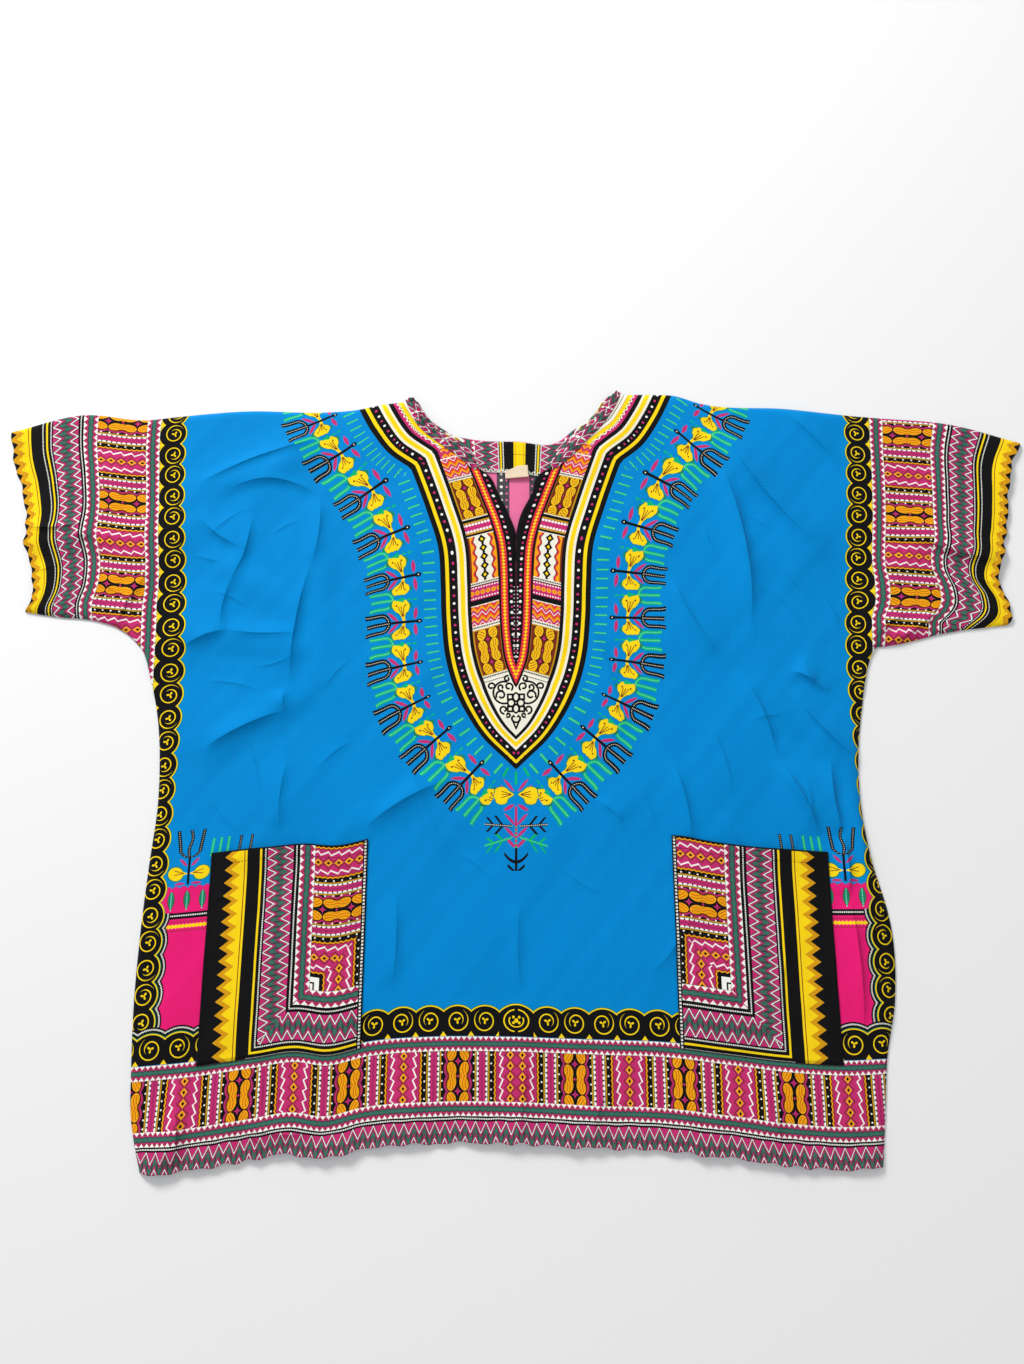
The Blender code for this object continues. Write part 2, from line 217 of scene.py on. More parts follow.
@dataclass(frozen=True)
class Folds:
    """Folds and creases of the front, placed one by one where the cloth has them."""

    large_scale: float = 0.62
    sharp_scale: float = 1.15
    steep_width: float = 0.0048
    crisp_scale: float = 0.95
    crisp_reach: float = 0.017
    crisp_count: int = 6
    # direction across the table that a crease's steep side faces
    lee: tuple[float, float] = (0.53, -0.85)
    # large soft folds: start X, Y, end X, Y, height, half width
    large: Table = (
        (-0.36, 0.285, -0.222, 0.338, 0.006, 0.024), (-0.322, 0.205, -0.252, 0.155, 0.0065, 0.026),
        (-0.214, 0.262, -0.206, 0.075, 0.0045, 0.024), (-0.345, 0.125, -0.215, 0.105, 0.006, 0.026),
        (-0.322, -0.005, -0.225, 0.055, 0.006, 0.026), (-0.16, -0.085, -0.078, -0.035, 0.0045, 0.024),
        (0.232, 0.345, 0.33, 0.222, 0.0065, 0.026), (0.232, 0.3, 0.262, 0.13, 0.0055, 0.024),
        (0.262, 0.062, 0.352, -0.022, 0.006, 0.026), (0.278, -0.012, 0.322, -0.085, 0.007, 0.024),
        (0.345, -0.03, 0.352, -0.28, 0.008, 0.024), (0.172, 0.19, 0.218, 0.105, 0.0045, 0.024),
        (-0.56, 0.226, -0.42, 0.236, 0.0065, 0.024), (0.42, 0.25, 0.54, 0.206, 0.0065, 0.024),
        (-0.33, -0.4, -0.322, -0.33, 0.0055, 0.022),
    )
    # sharp creases: start X, Y, end X, Y, bow to the left, height, half width
    sharp: Table = (
        (-0.352, 0.296, -0.222, 0.351, 0.006, 0.003, 0.009),
        (-0.349, 0.258, -0.299, 0.22, -0.004, 0.0022, 0.008),
        (-0.291, 0.259, -0.31, 0.178, 0.005, 0.0026, 0.009),
        (-0.306, 0.186, -0.316, 0.13, -0.004, 0.002, 0.008),
        (-0.217, 0.281, -0.222, 0.201, 0.004, 0.0024, 0.008),
        (-0.222, 0.205, -0.238, 0.066, -0.006, 0.0028, 0.01),
        (-0.354, 0.108, -0.306, 0.126, 0.003, 0.0026, 0.009),
        (-0.308, 0.126, -0.234, 0.123, -0.003, 0.0022, 0.009),
        (-0.315, 0.292, -0.222, 0.285, 0.014, 0.0024, 0.009),
        (-0.322, -0.003, -0.24, 0.038, 0.004, 0.003, 0.01),
        (-0.241, 0.038, -0.243, 0.06, 0.002, 0.0022, 0.008),
        (0.234, 0.362, 0.326, 0.228, -0.008, 0.0032, 0.01),
        (0.3, 0.388, 0.36, 0.322, 0.004, 0.0024, 0.008), (0.23, 0.319, 0.252, 0.128, 0.01, 0.003, 0.01),
        (0.169, 0.184, 0.214, 0.101, -0.004, 0.0026, 0.009),
        (0.29, 0.08, 0.316, 0.066, 0.003, 0.0026, 0.008),
        (0.3, 0.092, 0.33, 0.058, -0.004, 0.0022, 0.008),
        (0.237, 0.078, 0.27, -0.014, 0.006, 0.0024, 0.009),
        (0.29, 0.062, 0.347, -0.009, -0.005, 0.003, 0.01),
        (0.27, -0.015, 0.308, -0.094, 0.004, 0.0036, 0.009),
        (0.325, -0.014, 0.331, -0.092, -0.003, 0.0032, 0.009),
        (0.331, -0.092, 0.332, -0.154, 0.002, 0.004, 0.009),
        (0.332, -0.154, 0.336, -0.281, 0.003, 0.0042, 0.009),
        (0.16, -0.014, 0.178, -0.098, 0.005, 0.0024, 0.009),
        (0.083, -0.056, 0.109, -0.079, 0.002, 0.0016, 0.007),
        (-0.153, -0.084, -0.073, -0.036, 0.004, 0.0024, 0.009),
        (-0.121, -0.15, -0.122, -0.24, 0.003, 0.0018, 0.008),
        (-0.236, -0.014, -0.24, -0.086, -0.004, 0.002, 0.008),
        (-0.322, -0.352, -0.321, -0.402, 0.002, 0.0036, 0.008),
        (-0.262, -0.366, -0.188, -0.372, -0.004, 0.0018, 0.008),
        (-0.486, 0.233, -0.464, 0.233, 0.001, 0.0026, 0.007),
        (-0.54, 0.246, -0.468, 0.252, -0.005, 0.003, 0.009),
        (0.438, 0.232, 0.523, 0.206, -0.004, 0.0036, 0.008),
        (0.005, -0.245, 0.004, -0.16, 0.003, 0.0014, 0.007),
        (0.06, 0.165, 0.11, 0.02, 0.01, 0.001, 0.008), (-0.12, 0.02, -0.06, -0.12, -0.008, 0.001, 0.008),
        (0.18, -0.16, 0.13, -0.23, 0.005, 0.0012, 0.008), (0.01, -0.3, 0.0, -0.383, 0.002, 0.0018, 0.008),
        (-0.105, -0.33, -0.088, -0.385, 0.003, 0.0014, 0.007),
        (0.092, -0.322, 0.07, -0.386, -0.003, 0.0016, 0.007),
        (0.236, -0.33, 0.25, -0.394, 0.003, 0.0016, 0.007),
        (-0.43, 0.118, -0.396, 0.196, 0.006, 0.0022, 0.008),
        (0.392, 0.11, 0.455, 0.152, -0.005, 0.0034, 0.008),
        (0.384, 0.118, 0.418, 0.142, 0.004, 0.003, 0.007),
    )
    # faint short creases that only catch the light: as the sharp ones
    fine: Table = (
        (-0.338, 0.232, -0.296, 0.268, 0.003, 0.0013, 0.008),
        (-0.352, 0.214, -0.318, 0.204, -0.002, 0.0012, 0.008),
        (-0.33, 0.17, -0.288, 0.15, 0.004, 0.0014, 0.008),
        (-0.268, 0.236, -0.24, 0.252, 0.003, 0.0012, 0.008),
        (-0.33, 0.07, -0.268, 0.058, 0.004, 0.0013, 0.008),
        (-0.276, 0.086, -0.236, 0.098, -0.003, 0.0012, 0.008),
        (-0.292, 0.024, -0.262, -0.058, 0.006, 0.0014, 0.008),
        (-0.346, -0.06, -0.312, -0.116, 0.004, 0.0014, 0.008),
        (-0.318, -0.04, -0.282, -0.088, -0.005, 0.0013, 0.008),
        (-0.206, -0.026, -0.168, 0.006, 0.004, 0.0012, 0.008),
        (-0.204, 0.058, -0.174, 0.096, 0.003, 0.0011, 0.008),
        (-0.19, -0.112, -0.15, -0.128, -0.003, 0.0013, 0.008),
        (-0.06, -0.11, -0.022, -0.142, 0.004, 0.0011, 0.008),
        (0.044, -0.12, 0.086, -0.15, -0.004, 0.0012, 0.008),
        (0.118, -0.03, 0.142, -0.088, 0.004, 0.0012, 0.008),
        (0.196, 0.036, 0.222, -0.052, 0.006, 0.0015, 0.008),
        (0.206, -0.07, 0.232, -0.112, 0.003, 0.0014, 0.008),
        (0.25, 0.262, 0.286, 0.236, 0.003, 0.0012, 0.008),
        (0.288, 0.206, 0.316, 0.168, -0.004, 0.0014, 0.008),
        (0.262, 0.18, 0.306, 0.13, 0.006, 0.0014, 0.008),
        (0.326, 0.176, 0.35, 0.12, 0.003, 0.0013, 0.008),
        (0.206, 0.25, 0.224, 0.205, -0.003, 0.0012, 0.008),
        (0.244, 0.026, 0.282, 0.034, 0.002, 0.0011, 0.008),
        (0.296, -0.03, 0.3, -0.08, 0.002, 0.0013, 0.008),
        (0.346, -0.06, 0.35, -0.13, 0.002, 0.0015, 0.008),
        (-0.528, 0.298, -0.47, 0.284, 0.004, 0.0015, 0.008),
        (-0.54, 0.192, -0.492, 0.206, -0.003, 0.0014, 0.008),
        (-0.46, 0.18, -0.424, 0.164, 0.003, 0.0013, 0.008),
        (-0.45, 0.322, -0.408, 0.336, 0.003, 0.0012, 0.008),
        (0.446, 0.3, 0.512, 0.286, -0.004, 0.0014, 0.008),
        (0.47, 0.19, 0.534, 0.172, 0.004, 0.0015, 0.008),
        (0.408, 0.212, 0.446, 0.192, 0.003, 0.0014, 0.008),
        (0.54, 0.268, 0.556, 0.214, 0.002, 0.0014, 0.008),
        (-0.303, -0.157, -0.284, -0.155, 0.001, 0.0018, 0.008),
        (-0.309, -0.238, -0.286, -0.283, 0.003, 0.0016, 0.008),
        (-0.3, -0.122, -0.292, -0.15, 0.002, 0.0014, 0.008),
        (-0.196, -0.14, -0.188, -0.236, 0.003, 0.001, 0.008),
        (0.277, -0.117, 0.248, -0.289, 0.004, 0.0017, 0.008),
        (0.318, -0.15, 0.312, -0.262, -0.002, 0.0018, 0.008),
        (0.196, -0.15, 0.232, -0.232, 0.005, 0.001, 0.008),
        (-0.329, -0.38, -0.33, -0.402, 0.001, 0.0024, 0.008),
        (-0.256, -0.37, -0.236, -0.388, 0.001, 0.0024, 0.008),
        (-0.25, -0.3, -0.242, -0.352, 0.002, 0.0012, 0.008),
        (-0.036, -0.336, -0.044, -0.388, 0.002, 0.0011, 0.008),
        (0.15, -0.322, 0.168, -0.38, 0.003, 0.0014, 0.008),
        (0.3, -0.318, 0.32, -0.384, 0.003, 0.0015, 0.008),
        (0.192, -0.27, 0.262, -0.282, 0.003, 0.0013, 0.008),
    )
    # slow swells: waves across X, waves across Y, phase, height
    swells: Table = (
        (5.0, 3.0, 0.4, 0.00045), (-7.0, 9.0, 1.9, 0.00035), (13.0, -6.0, 4.1, 0.00028),
        (17.0, 15.0, 2.7, 0.0002), (-21.0, 11.0, 5.2, 0.00016), (31.0, -23.0, 0.9, 0.00016),
        (-44.0, 37.0, 3.3, 0.00012), (59.0, 30.0, 1.2, 0.00008),
    )

    def large_height(self, x: Array, y: Array) -> Array:
        """Height that the large folds add."""
        height = np.zeros_like(x)
        for *line, rise, half_width in self.large:
            share, away = along_and_away(x, y, line, 0.0)
            taper = 1.0 - 0.55 * np.abs(2.0 * share - 1.0) ** 2
            lift = rise * taper * (1.0 - ease(np.abs(away) / half_width))
            height = np.maximum(height, lift)
        return height * self.large_scale

    def facing(self, line: Sequence[float]) -> float:
        """Which side of a crease is its steep one: 1 on its left, -1 on its right."""
        x0, y0, x1, y1 = line
        return math.copysign(1.0, (x1 - x0) * self.lee[1] - (y1 - y0) * self.lee[0])

    def sharp_height(self, x: Array, y: Array) -> Array:
        """Height that the sharp creases add."""
        height = np.zeros_like(x)
        for *line, bow, rise, half_width in self.sharp:
            share, away = along_and_away(x, y, line, bow)
            taper = ease(np.sin(np.pi * (0.10 + 0.80 * share)))
            facing = self.facing(line)
            slack = np.where(away * facing > 0.0, self.steep_width, 2.4 * half_width)
            height += rise * taper * np.exp(-((np.abs(away) / slack) ** 1.7))
        return height * self.sharp_scale

    def crisp_layers(self, x: Array, y: Array) -> list[Array]:
        """Share the creases' crisp crests out over layers, so that no two meet in one layer.

        Args:
            x: X of the points.
            y: Y of the points.

        Returns:
            One table a layer, a row for each point: distance to the lee of the nearest crest
            and the crest's height.
        """
        layers = [np.tile((1.0, 0.0, 0.0), (len(x), 1)) for _ in range(self.crisp_count)]
        taken = [np.zeros(len(x), dtype=bool) for _ in layers]
        for *line, bow, rise, _ in self.sharp + self.fine:
            share, away = along_and_away(x, y, line, bow)
            near = np.abs(away) < 1.5 * self.crisp_reach
            free = [index for index, zone in enumerate(taken) if not np.any(zone & near)]
            index = free[0] if free else len(layers) - 1
            fade = ease(1.0 - np.abs(away) / self.crisp_reach) * np.sin(np.pi * share)
            facing = self.facing(line)
            layers[index][near, 0] = away[near] * facing
            layers[index][near, 1] = (self.crisp_scale * rise * fade)[near]
            taken[index] |= near
        return layers

    def hem_wave(self, out: Array) -> Array:
        """How high the hem's edge stands off the back along its length."""
        wave = 0.0014 + 0.0009 * np.sin(31.0 * out + 0.8) + 0.0006 * np.sin(67.0 * out + 2.1)
        pucker = 0.0006 * np.sin(233.0 * out + 2.0 * np.sin(29.0 * out))
        return np.maximum(wave + pucker, 0.0)

    def cuff_wave(self, out: Array, up: Array) -> Array:
        """How high a cuff's edge stands off the back along its length."""
        phase = np.where(out < 0.0, 0.6, 2.9)
        return 0.0016 + 0.0011 * np.sin(58.0 * up + phase) + 0.0005 * np.sin(117.0 * up + phase)

    def swell_height(self, x: Array, y: Array) -> Array:
        """Height that the slow swells add, never below zero."""
        height = np.zeros_like(x)
        for across, along, phase, rise in self.swells:
            height += rise * (1.0 + np.sin(2 * np.pi * (across * x + along * y) / 1.2 + phase))
        return height


def along_and_away(x: Array, y: Array, line: Sequence[float], bow: float) -> tuple[Array, Array]:
    """Measure points from a bowed line.

    Args:
        x: X of the points.
        y: Y of the points.
        line: X and Y where the line starts, then where it ends.
        bow: How far its middle bows to the left.

    Returns:
        Share of the way along it, and signed distance from it.
    """
    x0, y0, x1, y1 = line
    run = math.hypot(x1 - x0, y1 - y0)
    ux, uy = (x1 - x0) / run, (y1 - y0) / run
    ahead = (x - x0) * ux + (y - y0) * uy
    share = np.clip(ahead / run, 0.0, 1.0)
    left = -(x - x0) * uy + (y - y0) * ux - bow * 4.0 * share * (1.0 - share)
    past = ahead - share * run
    return share, np.hypot(left, past) * np.where(left < 0.0, -1.0, 1.0)


FOLDS = Folds()


# ---------------------------------------------------------------------------
# Cloth meshes
# ---------------------------------------------------------------------------


class Side(Enum):
    """Which half of the shirt, as it lies seen from above."""

    LEFT = -1
    RIGHT = 1


def spread(*stops: float, cell: float) -> Array:
    """Space values evenly between stops, keeping each stop exactly.

    Args:
        stops: Values in rising order that have to be in the result.
        cell: The widest gap that is allowed.

    Returns:
        The values in rising order.
    """
    runs = []
    for start, end in zip(stops[:-1], stops[1:]):
        count = max(1, math.ceil((end - start) / cell - 1e-9))
        runs.append(np.linspace(start, end, count, endpoint=False))
    return np.append(np.concatenate(runs), stops[-1])


def smooth_object(bm: bmesh.types.BMesh, name: str) -> bpy.types.Object:
    """Turn a mesh in the making into an object with smooth faces."""
    mesh = bpy.data.meshes.new(name)
    bm.to_mesh(mesh)
    bm.free()
    mesh.shade_smooth()
    thing = bpy.data.objects.new(name, mesh)
    bpy.context.scene.collection.objects.link(thing)
    return thing


class ClothMesh:
    """A sheet of cloth in the making: crossings in the cut, laid and given a thickness."""

    def __init__(self) -> None:
        """Start with no cloth."""
        self.bm = bmesh.new()
        self.out_layer = self.bm.verts.layers.float.new("out")
        self.up_layer = self.bm.verts.layers.float.new("up")

    def add_patch(self, out: Array, up: Array) -> None:
        """Add a grid of cloth.

        Args:
            out: Distance out at each crossing, in rows.
            up: Height up at each crossing, in rows.
        """
        rows, columns = out.shape
        grid = bmesh.ops.create_grid(
            self.bm, x_segments=columns - 1, y_segments=rows - 1, size=0.5
        )["verts"]
        for vert in grid:
            row = round((vert.co.y + 0.5) * (rows - 1))
            column = round((vert.co.x + 0.5) * (columns - 1))
            vert[self.out_layer] = out[row, column]
            vert[self.up_layer] = up[row, column]

    def cut_points(self) -> tuple[Array, Array]:
        """Read each point's place in the cut: distance out, height up."""
        out = np.array([vert[self.out_layer] for vert in self.bm.verts])
        up = np.array([vert[self.up_layer] for vert in self.bm.verts])
        return out, up

    def set_places(self, x: Array, y: Array, z: Array) -> None:
        """Move every point to its place."""
        for vert, px, py, pz in zip(self.bm.verts, x.tolist(), y.tolist(), z.tolist()):
            vert.co = (px, py, pz)

    def weld(self) -> None:
        """Join the patches where their edges meet and turn all faces up."""
        bmesh.ops.remove_doubles(self.bm, verts=self.bm.verts[:], dist=0.00004)
        self.bm.normal_update()
        turned = [face for face in self.bm.faces if face.normal.z < 0.0]
        bmesh.ops.reverse_faces(self.bm, faces=turned)

    def thicken(self, thickness: float) -> None:
        """Give the sheet its wall upwards: the faces made first become the underside.

        Args:
            thickness: The cloth's thickness.
        """
        self.bm.normal_update()
        upper = bmesh.ops.extrude_face_region(self.bm, geom=self.bm.faces[:], use_keep_orig=True)["geom"]
        for part in upper:
            if isinstance(part, bmesh.types.BMVert):
                part.co += part.normal * thickness
        self.bm.normal_update()

    def close(self, name: str, places: Sequence[Array], thickness: float) -> bpy.types.Object:
        """Lay the sheet in its place, give it its wall and turn it into an object.

        Args:
            name: The object's name.
            places: X, Y and Z of the underside's points.
            thickness: The cloth's thickness.

        Returns:
            The object.
        """
        self.set_places(*places)
        self.weld()
        self.thicken(thickness)
        return smooth_object(self.bm, name)


@dataclass(frozen=True)
class Cut:
    """Where the cut's edges and printed bands lie, and the grid lines that follow them."""

    cell: float = 0.0045
    straight_out: float = 0.340
    swirl_out: float = 0.393
    swirl_up: float = 0.0955
    field_up: float = 0.135
    corner_out: float = 0.240
    corner_up: float = 0.335
    pocket_foot: float = 0.091
    pocket_top: float = 0.291
    hem_fold: float = 0.0085
    cuff_fold: float = 0.0100
    pocket_fold: float = 0.0120
    # Y, X of the left edge, X of the right edge
    neck_edge: Table = (
        (0.092, 0.0, 0.0), (0.11, 0.0004, 0.0004), (0.2, 0.0005, 0.0005), (0.24, 0.0008, 0.0008),
        (0.259, 0.0074, 0.0051), (0.285, 0.0195, 0.0178), (0.311, 0.034, 0.0295), (0.32, 0.048, 0.045),
        (0.332, 0.061, 0.059), (0.35, 0.085, 0.075), (0.368, 0.105, 0.092), (0.388, 0.116, 0.106),
        (0.404, 0.1225, 0.114), (0.413, 0.1225, 0.1175),
    )
    # X, Y
    back_neck: Table = (
        (-0.123, 0.404), (-0.11, 0.393), (-0.102, 0.374), (-0.088, 0.365), (-0.052, 0.354), (0.0, 0.351),
        (0.052, 0.353), (0.064, 0.364), (0.086, 0.382), (0.096, 0.397), (0.116, 0.413),
    )
    # name, distance out of the outer edge, of the inner edge
    pockets: tuple[tuple[str, float, float], ...] = (
        ("pocket_left", -0.318, -0.155),
        ("pocket_right", 0.163, 0.325),
    )

    def rows(self, cell: float) -> Array:
        """Heights of the grid's rows, from the hem to the shoulder fold."""
        hem = (0.0, 0.0012, 0.0045, 0.0073, self.hem_fold, 0.0097, 0.0120)
        bands = (self.pocket_foot, self.swirl_up, self.field_up)
        fold = self.pocket_top - self.pocket_fold
        top_hem = (fold - 0.0014, fold, fold + 0.0014, self.pocket_top - 0.0012, self.pocket_top)
        heights = hem + bands + top_hem + (self.corner_up, LAY.underarm_up, LAY.length)
        return spread(*heights, cell=cell)

    def columns(self, cell: float) -> Array:
        """Distances out of the grid's columns, from the middle to the last straight one."""
        inner = (0.155, 0.157, 0.160, 0.163, 0.165, 0.168)
        outer = (0.313, 0.316, 0.318, 0.320, 0.323, 0.325)
        return spread(0.0, *inner, self.corner_out, *outer, self.straight_out, cell=cell)

    def neck_out(self, up: Array, side: Side) -> Array:
        """Distance out in the cut of the neck's front edge at each height."""
        column = 1 if side is Side.LEFT else 2
        out = np.full(up.shape, 1e-6) * side.value
        for _ in range(5):
            _, y = LAY.place(out, up)
            out = side.value * read_smooth(self.neck_edge, y, column) / LAY.width_share(up)
        return np.where(y < self.neck_edge[0][0], 0.0, np.abs(out))

    def seam_root(self, side: Side) -> float:
        """Distance out in the cut of the underarm corner."""
        return float(LAY.seam_out(np.array([LAY.underarm_up]), side.value)[0])

    def add_body(self, cloth: ClothMesh, side: Side, cell: float, back: bool) -> None:
        """Add one half of a panel's body, from the middle to the side seam.

        Args:
            cloth: The sheet to add to.
            side: Which half.
            cell: The widest grid cell.
            back: True for the back, whose neck is scooped instead of slit.
        """
        columns = self.columns(cell)
        rows = self.rows(cell)
        share = columns / self.straight_out
        edge = np.zeros_like(rows) if back else self.neck_out(rows, side)
        inner = edge[:, None] + share[None, :] * (self.straight_out - edge)[:, None]
        seam = LAY.seam_out(np.minimum(rows, LAY.underarm_up), side.value)
        steps = max(2, math.ceil((self.seam_root(side) - self.straight_out) / cell))
        outer = np.linspace(0.0, 1.0, steps + 1)[1:]
        outer = self.straight_out + outer[None, :] * (seam - self.straight_out)[:, None]
        out = np.concatenate([inner, outer], axis=1)
        up = np.repeat(rows[:, None], out.shape[1], axis=1)
        if back:
            top = np.full(out.shape[1], LAY.length)
            top[: len(columns)] = self.back_top(side.value * columns)
            start = LAY.underarm_up
            above = np.clip((up - start) / (LAY.length - start), 0.0, 1.0)
            up = np.where(up > start, start + above * (top[None, :] - start), up)
        cloth.add_patch(side.value * out, up)

    def add_sleeve(self, cloth: ClothMesh, side: Side, cell: float) -> None:
        """Add a sleeve, from the underarm corner out to the cuff.

        Args:
            cloth: The sheet to add to.
            side: Which sleeve.
            cell: The widest grid cell.
        """
        root = self.seam_root(side)
        cuff = LAY.cuff_out
        fold = cuff - self.cuff_fold
        stops = (root, self.swirl_out, fold - 0.0014, fold, fold + 0.0014, cuff - 0.0012, cuff)
        columns = spread(*stops, cell=cell)
        rows = self.rows(cell)
        rows = rows[rows > LAY.underarm_up - 1e-6]
        share = (rows - LAY.underarm_up) / (LAY.length - LAY.underarm_up)
        foot = LAY.foot_up(columns, side.value)
        foot[0] = LAY.underarm_up
        up = foot[None, :] + share[:, None] * (LAY.length - foot)[None, :]
        out = np.repeat(columns[None, :], len(rows), axis=0)
        cloth.add_patch(side.value * out, up)

    def back_top(self, out: Array) -> Array:
        """Height in the cut of the back's top edge: the neck's scoop, then the shoulder fold."""
        x = out * LAY.width_share(np.full_like(out, LAY.length))
        _, neck = LAY.find(x, read_smooth(self.back_neck, x, 1))
        inside = (x > self.back_neck[0][0]) & (x < self.back_neck[-1][0])
        return np.where(inside, np.minimum(neck, LAY.length), LAY.length)

    def from_edge(self, out: Array, up: Array) -> Array:
        """How far points are from the side seams and the sleeves' lower edges."""
        reach = np.abs(out)
        away = np.full_like(out, 1.0)
        for side in Side:
            here = np.sign(out) == side.value
            root = self.seam_root(side)
            seam = LAY.seam_out(np.minimum(up, LAY.underarm_up), side.value)
            corner = np.hypot(np.maximum(root - reach, 0.0), np.maximum(up - LAY.underarm_up, 0.0))
            body = np.where(up < LAY.underarm_up, seam - reach, corner)
            foot = (up - LAY.foot_up(np.maximum(reach, root), side.value)) * 0.85
            away = np.where(here, np.where(reach > root, foot, body), away)
        return np.maximum(away, 0.0)


CUT = Cut()


@dataclass(frozen=True)
class Stack:
    """Heights of the layers: back on the floor, front on the back, pockets on the front."""

    wall: float = 0.0006
    touch: float = 0.0002
    slack: float = 0.0006
    seam_roll: float = 0.011
    fold_roll: float = 0.007
    ripple: float = 0.10
    facing_depth: float = 0.038

    def back_under(self, x: Array, y: Array) -> Array:
        """Height of the back's underside: on the floor, with faint ripples."""
        lift = FOLDS.sharp_height(-x, y) + 0.5 * FOLDS.large_height(-x, y)
        return self.ripple * lift * ease((np.hypot(x, y - 0.36) - 0.10) / 0.08)

    def near_facing(self, x: Array, y: Array) -> Array:
        """One where the facing lies under the front, falling to nothing beyond it."""
        scoop = read_smooth(CUT.back_neck, x, 1)
        below = np.maximum(scoop - self.facing_depth - y, 0.0)
        beside = np.maximum(np.abs(x) - 0.120, 0.0)
        return 1.0 - ease((np.hypot(below, beside) - 0.010) / 0.045)

    def front_under(self, out: Array, up: Array) -> tuple[Array, Array, Array]:
        """Find the front's underside.

        Args:
            out: Distances out in the cut.
            up: Heights in the cut.

        Returns:
            X, Y and Z of each point.
        """
        x, y = LAY.place(out, up)
        seam = np.clip(CUT.from_edge(out, up) / self.seam_roll, 0.0, 1.0)
        fold = np.clip((LAY.length - up) / self.fold_roll, 0.0, 1.0)
        roll = np.sqrt(1.0 - (1.0 - seam) ** 2) * np.sqrt(1.0 - (1.0 - fold) ** 2)
        cuff = ease((LAY.cuff_out - np.abs(out)) / 0.02)
        loft = FOLDS.large_height(x, y) + FOLDS.sharp_height(x, y) + FOLDS.swell_height(x, y)
        loft = self.slack + loft * (0.35 + 0.65 * cuff) + 0.0012 * self.near_facing(x, y)
        hem = FOLDS.hem_wave(out) * (1.0 - ease(up / 0.022))
        hem += FOLDS.cuff_wave(out, up) * (1.0 - ease((LAY.cuff_out - np.abs(out)) / 0.024))
        proud = self.fold_profile(up, CUT.hem_fold)
        proud += self.fold_profile(LAY.cuff_out - np.abs(out), CUT.cuff_fold)
        base = self.back_under(x, y) + self.wall + self.touch
        return x, y, base + roll * (loft + hem) + proud * np.minimum(1.0, 2.0 * roll)

    def fold_profile(self, inward: Array, fold: float) -> Array:
        """How proud a turned edge stands: full on the turning, with a dip along its stitches."""
        turning = 0.00045 * (1.0 - ease((inward - fold - 0.0008) / 0.0020))
        return turning - 0.00035 * np.exp(-(((inward - fold) / 0.0009) ** 2))


STACK = Stack()


# ---------------------------------------------------------------------------
# The neck design's outline, as two coordinates: along it and out from it
# ---------------------------------------------------------------------------


@dataclass(frozen=True)
class Outline:
    """A mirrored outline in the cut, from its point on the middle line up to the shoulder."""

    # distance out, height up
    points: Table
    offset: float = 0.040

    def walk(self) -> tuple[Array, Array, Array]:
        """Walk the outline in small steps: distance out, height up, length walked beside it."""
        rows = np.array(self.points)
        gaps = np.hypot(*np.diff(rows, axis=0).T)
        length = np.concatenate([[0.0], np.cumsum(gaps)])
        fine = np.linspace(0.0, length[-1], 700)
        table = tuple((d, *row) for d, row in zip(length.tolist(), rows.tolist()))
        out = read_smooth(table, fine, 1)
        up = read_smooth(table, fine, 2)
        steps = np.hypot(np.diff(out), np.diff(up))
        heading = np.unwrap(np.arctan2(np.diff(up), np.diff(out)))
        bend = np.gradient(heading) * self.offset
        steps = np.maximum(steps + bend, 0.15 * steps)
        return out, up, np.concatenate([[0.0], np.cumsum(steps)])

    def measure(self, out: Array, up: Array) -> tuple[Array, Array]:
        """Measure points from the outline.

        Args:
            out: Distances out in the cut, of either sign.
            up: Heights in the cut.

        Returns:
            Distance along the outline from its point, and distance outwards, less than
            nothing inside it. Beyond its point the first runs on below nothing as a fan.
        """
        line_out, line_up, walked = self.walk()
        reach = np.abs(out)
        along = np.zeros_like(reach)
        away = np.zeros_like(reach)
        for start in range(0, len(reach), 4000):
            part = slice(start, start + 4000)
            dx = reach[part, None] - line_out[None, :]
            dy = up[part, None] - line_up[None, :]
            near = np.argmin(dx * dx + dy * dy, axis=1)
            before = np.maximum(near - 1, 0)
            after = np.minimum(near + 1, len(line_out) - 1)
            tx, ty = line_out[after] - line_out[before], line_up[after] - line_up[before]
            size = np.hypot(tx, ty)
            tx, ty = tx / size, ty / size
            px, py = reach[part] - line_out[near], up[part] - line_up[near]
            ahead = px * tx + py * ty
            across = px * ty - py * tx
            tip = (near == 0) & (across > 0.0) & (ahead < 0.0)
            turn = np.arctan2(-ahead, across)
            away[part] = np.where(tip, np.hypot(px, py), across)
            ratio = (walked[after] - walked[before]) / size
            along[part] = np.where(tip, -self.offset * turn, walked[near] + ahead * ratio)
        return along, away


@dataclass(frozen=True)
class RingLine(Outline):
    """The line that the ring's flowers sit on. Its rows begin with the way along it."""

    def walk(self) -> tuple[Array, Array, Array]:
        """Walk the line in small steps: distance out, height up, way along."""
        walked = np.linspace(self.points[0][0], self.points[-1][0], 700)
        return read_smooth(self.points, walked, 1), read_smooth(self.points, walked, 2), walked


